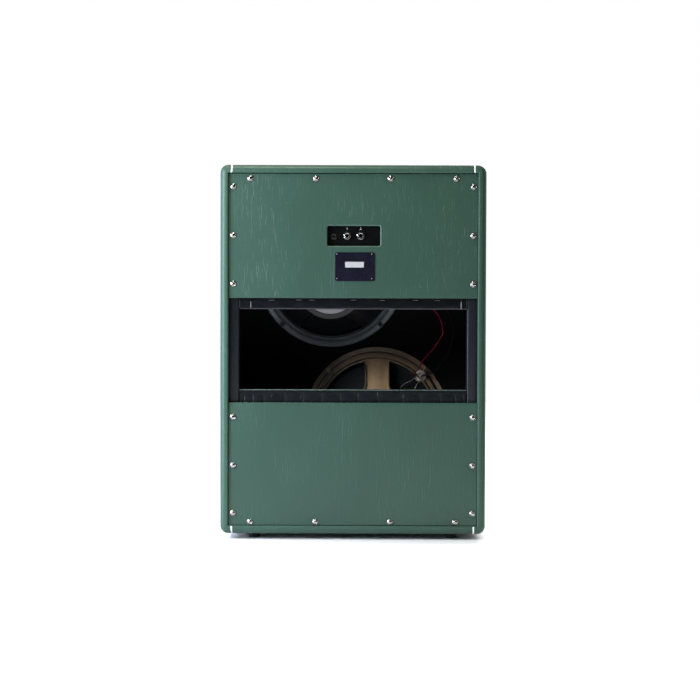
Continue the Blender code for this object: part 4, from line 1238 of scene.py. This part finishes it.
def pressing(name, place, turn, looks, node):
    """The pressed-steel frame, as one sheet: rim, flange, step, beaded seat, four windows with turned edges, cup."""
    around, down, rings = 30, 18, 7
    t0, t1 = Vector((0.1280, 0.0116)), Vector((0.0600, 0.0788))
    run = (t1 - t0).length
    out = Vector((t1.y - t0.y, t0.x - t1.x)).normalized()

    def skin(t):
        return t0.lerp(t1, t) + out * 0.0014 * math.sin(math.pi * t)

    before = rounded(
        [(0.1524, 0.0040), (0.1520, 0.0013), (0.1418, 0.0013), (0.1398, 0.0030), (0.1390, 0.0100), (0.1372, 0.0113), (0.1360, 0.0113), (0.1340, 0.0134), (0.1318, 0.0134), (0.1300, 0.0110)],
        0.0009, 3,
    ) + [(0.1280, 0.0116)]
    after = [(0.0600, 0.0788)] + rounded([(0.0592, 0.0796), (0.0560, 0.0812), (0.0460, 0.0812), (0.0300, 0.0812)], 0.0020, 3)
    total = around * 4
    verts, faces, indices = [], [], []

    def lathe(profile, index):
        start = len(verts)
        for r, h in profile:
            for k in range(total):
                a = turn + 2 * math.pi * k / total + math.pi / 4
                verts.append((r * math.cos(a), r * math.sin(a), h))
        for f in ring_faces(len(profile), total, False, True):
            faces.append(tuple(start + v for v in f))
            indices.append(index)

    lathe(before, 0)
    lathe(after, 1)

    spoke = lambda t: 0.0240 - 0.0010 * t
    walk = (
        [(-1 + 2 * k / around, -1.0) for k in range(around)]
        + [(1.0, -1 + 2 * k / down) for k in range(down)]
        + [(1 - 2 * k / around, 1.0) for k in range(around)]
        + [(-1.0, 1 - 2 * k / down) for k in range(down)]
    )
    middle_t, half = 0.4850, 0.4337 * run

    def window(u, v, shrink):
        """(t, angle) of the window's edge, shrunk squarely into the window."""
        radius = 0.0125 - shrink
        t = middle_t + v * half / run
        wide = skin(t).x * math.pi / 4 - spoke(t) - shrink
        tall = half - shrink
        px, py = u * wide, v * tall
        qx, qy = max(radius - wide, min(wide - radius, px)), max(radius - tall, min(tall - radius, py))
        d = Vector((px - qx, py - qy))
        if d.length > 1e-9:
            d = d.normalized() * radius
        t = middle_t + (qy + d.y) / run
        return t, (qx + d.x) / skin(t).x

    for bay in range(4):
        middle = turn + math.pi / 4 + math.pi / 2 * bay
        start = len(verts)
        rows = []
        for j in range(rings + 1):
            share = j / rings
            row = []
            for u, v in walk:
                outer_t, outer_a = (v + 1) / 2, u * math.pi / 4
                wt, wa = window(u, v, 0.0)
                t, a = outer_t + (wt - outer_t) * share, outer_a + (wa - outer_a) * share
                p = skin(t)
                # A shallow rib runs down the middle of each spoke.
                off = (math.pi / 4 - abs(a)) * p.x
                rib = (1 - soft((off - 0.0065) / 0.0050)) * soft(t / 0.16) * soft((1 - t) / 0.16)
                p = p + out * 0.0012 * rib
                row.append((p, middle + a))
            rows.append(row)
        for shrink, rise in ((0.0008, 0.0004), (0.0014, 0.0012), (0.0017, 0.0024), (0.0014, 0.0036), (0.0004, 0.0044), (-0.0006, 0.0042)):
            row = []
            for u, v in walk:
                t, a = window(u, v, shrink)
                row.append((skin(t) + out * rise, middle + a))
            rows.append(row)
        for row in rows:
            verts += [(p.x * math.cos(a), p.x * math.sin(a), p.y) for p, a in row]
        for n, f in enumerate(ring_faces(len(rows), len(walk), False, True)):
            faces.append(tuple(start + v for v in f))
            indices.append(2 if n // len(walk) >= rings else 1)
    made = build(name, verts, faces, looks, body=None, indices=indices, place=place, sharp=60)
    thick = made.modifiers.new("sheet", "SOLIDIFY")
    thick.thickness, thick.offset = 0.0013, 0.0
    thick.use_even_offset = thick.use_quality_normals = True
    bpy.context.view_layer.update()
    mesh = bpy.data.meshes.new_from_object(made.evaluated_get(bpy.context.evaluated_depsgraph_get()))
    made.modifiers.clear()
    made.data = mesh
    mesh.shade_smooth()
    mesh.set_sharp_from_angle(angle=rad(50))
    return settle(made, "cabinet", (node[0],))


def cone_set(level, place, body):
    """The moving parts: pleated and ribbed paper cone, dust cap, corrugated spider, voice coil's former."""
    # The upper driver's cone takes the darker copy of the paper: painted shade.
    paper = PAPER_UPPER_PAINTED_SHADE if level == "upper" else PAPER
    front = [(0.1375, 0.0044)]
    steps = 40
    for k in range(1, steps):
        t = k / steps
        r = 0.1375 - t * 0.0215
        front.append((r, 0.0046 + 0.0012 * math.sin(t * math.pi * 5.0) * math.sin(math.pi * min(1.0, t * 1.15)) + t * 0.0003))
    a, b = Vector((0.1160, 0.0052)), Vector((0.0233, 0.0700))
    slope = (b - a).normalized()
    side = Vector((slope.y, -slope.x))
    for k in range(61):
        t = k / 60
        rib = sum(math.exp(-(((t - m) / 0.012) ** 2)) for m in (0.16, 0.28, 0.40, 0.52, 0.64))
        p = a.lerp(b, t) + side * (0.0042 * math.sin(math.pi * t) ** 1.1 - 0.0007 * rib)
        front.append((p.x, p.y))
    thin = 0.0007
    back = [(r, h + thin) for r, h in reversed(front)]
    turned(
        f"{level}_cone_paper", front + back, 96, [paper], body=body, ring=True, place=place, sharp=50,
        slot="cone_paper", stands_for=(f"{level}_driver_cone",),
    )
    cap = [(0.0330, 0.0635), (0.0326, 0.0622), (0.0310, 0.0610)]
    cap += [(0.0310 * math.cos(rad(q)), 0.0610 - 0.0085 * math.sin(rad(q))) for q in range(8, 90, 8)] + [(0.0, 0.0525)]
    turned(f"{level}_dust_cap", cap + [(0.0, 0.0531)] + [(r - 0.0004 if r > 0.001 else r, h + 0.0006) for r, h in reversed(cap[:-1])], 64, [paper], body=body, place=place)
    disc = []
    for k in range(57):
        t = k / 56
        r = 0.0520 - t * (0.0520 - 0.0229)
        disc.append((r, 0.0748 + (0.0012 * math.sin(t * math.pi * 12) if 0.06 < t < 0.92 else 0.0)))
    turned(f"{level}_spider", disc + [(r, h + 0.0005) for r, h in reversed(disc)], 80, [SPIDER], body=body, ring=True, place=place, sharp=60)
    turned(
        f"{level}_coil_former",
        [(0.0213, 0.0640), (0.0221, 0.0640), (0.0221, 0.0895), (0.0227, 0.0897), (0.0227, 0.0985), (0.0221, 0.0987), (0.0221, 0.1000), (0.0213, 0.1000)],
        48, [SPIDER], body=body, ring=True, place=place,
    )


def driver(level, centre, lean, turn, looks, slot, body, bolts):
    place = facing(centre, lean)
    pressing(f"{level}_driver_pressing", place, turn, looks, (f"{level}_driver_frame", slot))
    magnet = turned(
        f"{level}_magnet_ring",
        rounded([(0.0320, 0.0896), (0.0668, 0.0896), (0.0680, 0.0908), (0.0680, 0.1122), (0.0668, 0.1134), (0.0320, 0.1134)], 0.0006, 2),
        96, [FERRITE], ring=True, place=place, slot="magnet", stands_for=(f"{level}_driver_magnet",),
    )
    turned(
        f"{level}_magnet_top_plate",
        rounded([(0.0245, 0.0824), (0.0545, 0.0824), (0.0550, 0.0829), (0.0550, 0.0890), (0.0545, 0.0895), (0.0245, 0.0895)], 0.0003, 2),
        80, [ZINC], ring=True, place=place,
    )
    plate_profile = [
        (0.0060, 0.0800), (0.0200, 0.0800), (0.0200, 0.1135), (0.0552, 0.1135), (0.0565, 0.1146), (0.0565, 0.1206), (0.0548, 0.1222),
        (0.0170, 0.1222), (0.0160, 0.1216), (0.0130, 0.1216), (0.0120, 0.1222), (0.0070, 0.1222), (0.0060, 0.1214),
    ]
    turned(f"{level}_magnet_back_plate", rounded(plate_profile + [plate_profile[0]], 0.0005, 2)[:-1], 96, [ZINC], ring=True, place=place)
    cone_set(level, place, body)
    # Bolts through the flange, with washers and nuts
    for n in range(4):
        a = math.pi / 4 + math.pi / 2 * n
        spot = place @ Matrix.Translation((0.1466 * math.cos(a), 0.1466 * math.sin(a), 0.0020))
        turned(f"{level}_driver_washer_{n + 1}", rounded([(0.0026, 0.0), (0.0054, 0.0), (0.0054, 0.0009), (0.0026, 0.0009)], 0.0002, 2), 32, [bolts], ring=True, place=spot)
        hex_nut(f"{level}_driver_nut_{n + 1}", 0.0080, 0.0034, 0.0024, spot @ Matrix.Translation((0, 0, 0.0009)) @ Matrix.Rotation(0.4 * n, 4, "Z"), look=bolts, steps=48)
        stud = [(0.0, -0.0016), (0.0024, -0.0016)]
        for k in range(10):
            stud += [(0.0024, 0.0002 + k * 0.0008), (0.0021, 0.0006 + k * 0.0008)]
        stud += [(0.0020, 0.0086), (0.0015, 0.0090), (0.0, 0.0090)]
        turned(f"{level}_driver_bolt_{n + 1}", stud, 20, [bolts], place=spot)
    return place


# The upper driver's basket and bolts take dark copies of their paint and steel: painted shade.
upper_place = driver("upper", UPPER_DRIVER, LEAN, rad(-45.0), [GREY_STEEL, BASKET_PAINTED_SHADE, BASKET_PAINTED_SHADE], "grey_steel", "upper_cone", BOLT_STEEL_PAINTED_SHADE)
# The lower driver's rim takes the darker copy of its tan enamel (painted shade), and its rolled edges the lighter,
# metal-like copy (painted highlight).
lower_place = driver("lower", LOWER_DRIVER, 0.0, 0.0, [TAN_RIM_PAINTED_SHADE, TAN_STEEL, TAN_EDGE_PAINTED_HIGHLIGHT], "tan_steel", "lower_cone", BRASSED)

# Terminal boards, with their lugs and the tinsel leads to the cones
for level, place, turn, body in (("upper", upper_place, rad(-45.0), "upper_cone"), ("lower", lower_place, 0.0, "lower_cone")):
    beta = turn + rad(45.0) + math.pi
    spot = place @ Matrix.Translation((0.1300 * math.cos(beta), 0.1300 * math.sin(beta), 0.0125)) @ Matrix.Rotation(beta, 4, "Z")
    turned(
        f"{level}_terminal_disc",
        rounded([(0.0, 0.0), (0.0125, 0.0), (0.0125, 0.0040), (0.0108, 0.0052), (0.0050, 0.0060), (0.0, 0.0061)], 0.0008, 3),
        48, [FIBRE], place=spot, slot="terminal_fibre", stands_for=(f"{level}_driver_terminal_board",),
    )
    for n, dy in ((1, -0.0060), (2, 0.0060)):
        turned(f"{level}_terminal_rivet_{n}", [(0.0, 0.0046), (0.0020, 0.0046), (0.0020, 0.0062), (0.0014, 0.0070), (0.0, 0.0073)], 20, [TINNED], place=spot @ Matrix.Translation((0.0, dy, 0.0)))
        lug = round_box(f"{level}_terminal_lug_{n}", (-0.0090, dy - 0.0013, 0.0058), (0.0045, dy + 0.0013, 0.0066), 0.00025, [TINNED], segments=1, body=None)
        lug.matrix_world = spot
        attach(lug, "cabinet")
        # From the lug's inner end down through the window to the cone
        start = spot @ Vector((-0.0088, dy, 0.0064))
        centre = place @ Vector((0.0, 0.0, 0.0))
        r, spread = 0.0800, 0.013 if dy > 0 else -0.013
        across = (Matrix.Rotation(beta, 4, "Z") @ Vector((r, spread, 0.0318)))
        end = place @ across
        mid1 = place @ (Matrix.Rotation(beta, 4, "Z") @ Vector((0.1120, dy * 1.15, 0.0265)))
        mid2 = place @ (Matrix.Rotation(beta, 4, "Z") @ Vector((0.0960, spread * 0.95, 0.0330)))
        points, _ = spline([start, mid1, mid2, end], 0.0012)
        lead = tube(f"{level}_tinsel_lead_{n}", points, 0.00085, TINSEL, body=None, sides=10)
        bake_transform(lead)

# ---------------------------------------------------------------- wires


def lead(name, route, radius, look, slot):
    points, length = spline(route, radius * 2.5)
    data = bpy.data.curves.new(name, "CURVE")
    data.dimensions = "3D"
    line = data.splines.new("POLY")
    line.points.add(len(points) - 1)
    for spot, point in zip(line.points, points):
        spot.co = (*point, 1.0)
    data.bevel_depth, data.bevel_resolution, data.use_fill_caps = radius, 4, True
    data.materials.append(look)
    made = bpy.data.objects.new(f"{name}_insulated", data)
    bpy.context.scene.collection.objects.link(made)
    settle(made, "cabinet", (name,))
    return made


JACK_REAR = 0.1522 - 0.0003 - 0.025 - 0.0005
lead(
    "lower_driver_red_wire",
    [
        (0.0079, JACK_REAR, 0.5800), (0.0079, JACK_REAR - 0.010, 0.5800), (0.002, 0.104, 0.5750), (-0.030, 0.086, 0.5480),
        (-0.085, 0.068, 0.5020), (-0.132, 0.053, 0.4680), (-0.1609, 0.045, 0.4434), (-0.1754, 0.020, 0.4253),
        (-0.1830, -0.005, 0.4005), (-0.1798, -0.020, 0.3880), (-0.1646, -0.045, 0.3626), (-0.1491, -0.070, 0.3431),
        (-0.1353, -0.096, 0.3190), (-0.1300, -0.1100, 0.3090), (-0.1310, -0.1128, 0.3020),
    ],
    0.0013, RED, "red_wire",
)
lead(
    "lower_driver_black_wire",
    [
        (0.0159, JACK_REAR, 0.5880), (0.0159, JACK_REAR - 0.010, 0.5880), (0.010, 0.102, 0.5870), (-0.025, 0.078, 0.5640),
        (-0.085, 0.056, 0.5200), (-0.140, 0.040, 0.4860), (-0.1790, 0.030, 0.4560), (-0.2000, 0.004, 0.4200),
        (-0.2040, -0.026, 0.3860), (-0.1950, -0.056, 0.3500), (-0.1780, -0.084, 0.3220), (-0.1600, -0.104, 0.3090),
        (-0.1470, -0.1120, 0.3060), (-0.1430, -0.1128, 0.3020),
    ],
    0.0013, BLACK, "black_wire",
)
lead(
    "upper_driver_twin_wire",
    [
        (JACKS[1][0], JACK_REAR, JACKS[1][1]), (JACKS[1][0], JACK_REAR - 0.010, JACKS[1][1]), (-0.024, 0.102, 0.5820),
        (-0.050, 0.072, 0.5700), (-0.074, 0.030, 0.5640), (-0.088, -0.015, 0.5560), (-0.090, -0.052, 0.5380),
        (-0.083, -0.0735, 0.5200), (-0.081, -0.0772, 0.5120),
    ],
    0.0019, BLACK, "black_wire",
)

# ---------------------------------------------------------------- front


def front_point(depth, along):
    y, z = FRONT + depth, BEND_Z - depth * math.tan(LEAN / 2)
    if along < 0:
        return y, z + along
    return y + along * math.sin(LEAN), z + along * math.cos(LEAN)


def grille_cloth():
    """Cloth stretched over the grille frame and turned back over its edges."""
    depth, half = 0.0055, 0.2365 + 0.0006
    bend = BEND_Z - depth * math.tan(LEAN / 2)
    low, high = 0.0295 - 0.0006, 0.7005 + 0.0006
    a0, a1 = low - bend, (high - bend) / math.cos(LEAN)
    turn, back = 0.0016, 0.0110

    def across(edge_low, edge_high, marks):
        """(place, drop) from one turned edge to the other."""
        rows = [(edge_low, turn + back), (edge_low, turn)]
        rows += [(edge_low + turn * (1 - math.cos(rad(q))), turn * (1 - math.sin(rad(q)))) for q in (22.5, 45, 67.5)]
        rows += [(m, 0.0) for m in marks]
        rows += [(edge_high - turn * (1 - math.cos(rad(q))), turn * (1 - math.sin(rad(q)))) for q in (67.5, 45, 22.5)]
        return rows + [(edge_high, turn), (edge_high, turn + back)]

    xs = across(-half, half, spaced([-half + turn, half - turn], 0.012))
    bend_marks = [-0.004, -0.002, 0.0, 0.002, 0.004]
    ts = across(a0, a1, spaced([a0 + turn, a1 - turn] + bend_marks, 0.012))

    def lengths(rows):
        out = [0.0]
        for (a, p), (b, q) in zip(rows, rows[1:]):
            out.append(out[-1] + math.hypot(b - a, q - p))
        return out

    us, vs = lengths(xs), lengths(ts)
    verts, uvs = [], []
    for (t, drop_t), v in zip(ts, vs):
        for (x, drop_x), u in zip(xs, us):
            drop = max(drop_t, drop_x)
            t_in = t
            y, z = front_point(depth + drop, t_in)
            verts.append((x, y, z))
            uvs.append((u, v))
    faces = ring_faces(len(ts), len(xs))
    made = build("grille_cloth_stretched", verts, faces, [CLOTH], body=None, uvs=uvs, sharp=70)
    thick = made.modifiers.new("cloth", "SOLIDIFY")
    thick.thickness, thick.offset = 0.0007, 0.0
    bpy.context.view_layer.update()
    mesh = bpy.data.meshes.new_from_object(made.evaluated_get(bpy.context.evaluated_depsgraph_get()))
    made.modifiers.clear()
    made.data = mesh
    mesh.shade_smooth()
    settle(made, "cabinet", ("grille_cloth",))
    return made


grille_cloth()

for node, look in (
    ("upper_baffle_board", PAINTED),
    ("lower_baffle_board", PAINTED),
    ("grille_frame", RAW),
    ("top_rear_batten", DARK_SIDE_PAINTED_LIGHT),
    ("bottom_rear_batten", DARK_SIDE_PAINTED_LIGHT),
):
    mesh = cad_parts[node].data
    mesh.materials.clear()
    mesh.materials.append(look)

# ---------------------------------------------------------------- feet

for end, y in (("rear", 0.125), ("front", -0.125)):
    for side, x in (("left", 0.192), ("right", -0.192)):
        place = Matrix.Translation((x, y, 0.0))
        profile = [(0.0, 0.0107), (0.0116, 0.0107), (0.0122, 0.0101), (0.0109, 0.0014), (0.0096, 0.0), (0.0052, 0.0), (0.0048, 0.0050), (0.0024, 0.0052), (0.0, 0.0052)]
        turned(f"{end}_{side}_rubber_foot", rounded(profile, 0.0007, 3), 48, [RUBBER], place=place, slot="rubber", stands_for=(f"{end}_{side}_foot",))
        turned(
            f"{end}_{side}_foot_screw",
            [(0.0, 0.0016), (0.0009, 0.0018), (0.0026, 0.0021), (0.0036, 0.0028), (0.0038, 0.0036), (0.0036, 0.0049), (0.0, 0.0050)],
            28, [STEEL_WIRE], place=place,
        )

# ---------------------------------------------------------------- floor, light, camera


def floor():
    """A pale floor, with a glow of its own outside the cabinet's shadow so that it stays as pale as the background. The
    glow is strongest a little way out from the cabinet, where it lights the cabinet's bottom, and the floor is painted
    a little darker just behind and in front of the cabinet, a painted shadow.
    """
    look = Look("studio_floor", (0.90, 0.90, 0.90), 0.75, specular=0.2)
    split = look.tree.nodes.new("ShaderNodeSeparateXYZ")
    look.tree.links.new(look.at, split.inputs[0])
    beyond_x = look.maths("MAXIMUM", look.maths("SUBTRACT", look.maths("ABSOLUTE", split.outputs[0]), 0.235), 0.0)
    beyond_y = look.maths("MAXIMUM", look.maths("SUBTRACT", look.maths("ABSOLUTE", split.outputs[1]), 0.185), 0.0)
    beyond_x = look.maths("MULTIPLY", beyond_x, 2.4)
    away = look.maths("SQRT", look.maths("ADD", look.maths("POWER", beyond_x, 2.0), look.maths("POWER", beyond_y, 2.0)))
    near = look.band(away, 0.0, 0.13, 0.0, 1.0)
    far = look.band(split.outputs[1], 1.4, 2.2, 1.0, 0.12)
    wide = look.band(look.maths("ABSOLUTE", split.outputs[0]), 0.68, 1.1, 1.0, 0.12)
    open_side = look.band(split.outputs[1], -0.3, 0.3)
    wide = look.add("Mix", {0: open_side, 2: 1.0, 3: wide}, out=0, data_type="FLOAT")
    tint = look.noise(look.stretch((3, 3, 3)), detail=2.0)
    # Painted shadow: the floor reflects less (0.80 against 0.9 under the cabinet) just behind and in front of it,
    # deepening its contact shadow.
    out = look.band(look.maths("ABSOLUTE", split.outputs[1]), 0.145, 0.165)
    pale = look.mix(out, look.mix(tint, (0.89, 0.89, 0.89), (0.92, 0.92, 0.92)), (0.80, 0.80, 0.80))
    look.paint(look.mix(near, pale, (0.30, 0.30, 0.30)))
    look.shader.inputs["Emission Color"].default_value = (1, 1, 1, 1)
    look.tree.links.new(look.maths("MULTIPLY", look.maths("MULTIPLY", look.maths("MULTIPLY", near, look.band(away, 0.30, 0.80, 1.55, 1.0)), far), wide), look.shader.inputs["Emission Strength"])
    mesh = bpy.data.meshes.new("studio_floor")
    mesh.from_pydata([(-4.5, -4.5, 0), (4.5, -4.5, 0), (4.5, 4.5, 0), (-4.5, 4.5, 0)], [], [(0, 1, 2, 3)])
    mesh.materials.append(look.mat)
    made = bpy.data.objects.new("studio_floor", mesh)
    bpy.context.scene.collection.objects.link(made)


floor()

world = bpy.data.worlds.new("studio")
bpy.context.scene.world = world
world.use_nodes = True
tree = world.node_tree
ground = tree.nodes["Background"]
coord = tree.nodes.new("ShaderNodeTexCoord").outputs["Generated"]
split = tree.nodes.new("ShaderNodeSeparateXYZ")
tree.links.new(coord, split.inputs[0])


def sky_range(source, low, high, start, end):
    """White all round behind the cabinet, dim overhead and on the side that its open back faces."""
    node = tree.nodes.new("ShaderNodeMapRange")
    node.interpolation_type = "SMOOTHSTEP"
    for key, value in (("From Min", low), ("From Max", high), ("To Min", start), ("To Max", end)):
        node.inputs[key].default_value = value
    tree.links.new(source, node.inputs["Value"])
    return node.outputs[0]


sky = tree.nodes.new("ShaderNodeMath")
sky.operation = "MULTIPLY"
tree.links.new(sky_range(split.outputs[2], 0.27, 0.60, 1.0, 0.60), sky.inputs[0])
tree.links.new(sky_range(split.outputs[1], -0.35, 0.38, 1.0, 0.035), sky.inputs[1])
tree.links.new(sky.outputs[0], ground.inputs["Strength"])
ground.inputs["Color"].default_value = (1.0, 1.0, 1.0, 1.0)


def softbox(name, place, target, size, power, colour, spread=180.0):
    data = bpy.data.lights.new(name, "AREA")
    data.shape, data.size, data.size_y, data.energy, data.color = "RECTANGLE", size[0], size[1], power, colour
    data.spread = rad(spread)
    made = bpy.data.objects.new(name, data)
    bpy.context.scene.collection.objects.link(made)
    made.location = place
    made.rotation_mode = "QUATERNION"
    made.rotation_quaternion = (Vector(target) - Vector(place)).to_track_quat("-Z", "Y")


AIM = (0.05, 0.10, 0.42)
softbox("side_softbox", (0.95, 0.53, 0.50), (0.08, 0.14, 0.38), (0.26, 0.95), 21.5, (0.67, 0.76, 1.0))
softbox("key_softbox", (1.05, 1.12, 0.93), (0.0, 0.0, 0.36), (0.40, 0.36), 15.5, (1.0, 0.97, 0.86))
softbox("fill_softbox", (-1.15, 1.20, 1.15), AIM, (0.30, 0.30), 0.8, (1.0, 0.92, 0.70))
softbox("top_softbox", (0.25, 0.52, 1.75), (0.0, 0.14, 0.45), (0.60, 0.30), 12.5, (1.0, 0.98, 0.84))
softbox("edge_softbox", (0.85, 1.65, 0.79), (0.03, -0.12, 0.33), (0.14, 0.14), 1.5, (0.88, 0.96, 1.0))
softbox("front_softbox", (-1.3, -2.6, 1.9), (0.0, -0.1, 0.35), (1.4, 1.4), 60.0, (1.0, 1.0, 1.0))


def camera():
    data = bpy.data.cameras.new("camera")
    data.sensor_width, data.sensor_fit = 36.0, "HORIZONTAL"
    data.lens = 1377.0 / 700.0 * 36.0
    made = bpy.data.objects.new("camera", data)
    bpy.context.scene.collection.objects.link(made)
    yaw, pitch, roll = rad(0.343), rad(1.099), rad(0.169)
    ahead = Vector((math.sin(yaw) * math.cos(pitch), -math.cos(yaw) * math.cos(pitch), -math.sin(pitch)))
    right = ahead.cross(Vector((0, 0, 1))).normalized()
    up = right.cross(ahead)
    right, up = right * math.cos(roll) + up * math.sin(roll), up * math.cos(roll) - right * math.sin(roll)
    turn = Matrix((right, up, -ahead)).transposed().to_4x4()
    made.matrix_world = Matrix.Translation((-0.0101, 2.8039, 0.41533)) @ turn
    bpy.context.scene.camera = made


camera()

bpy.context.view_layer.update()
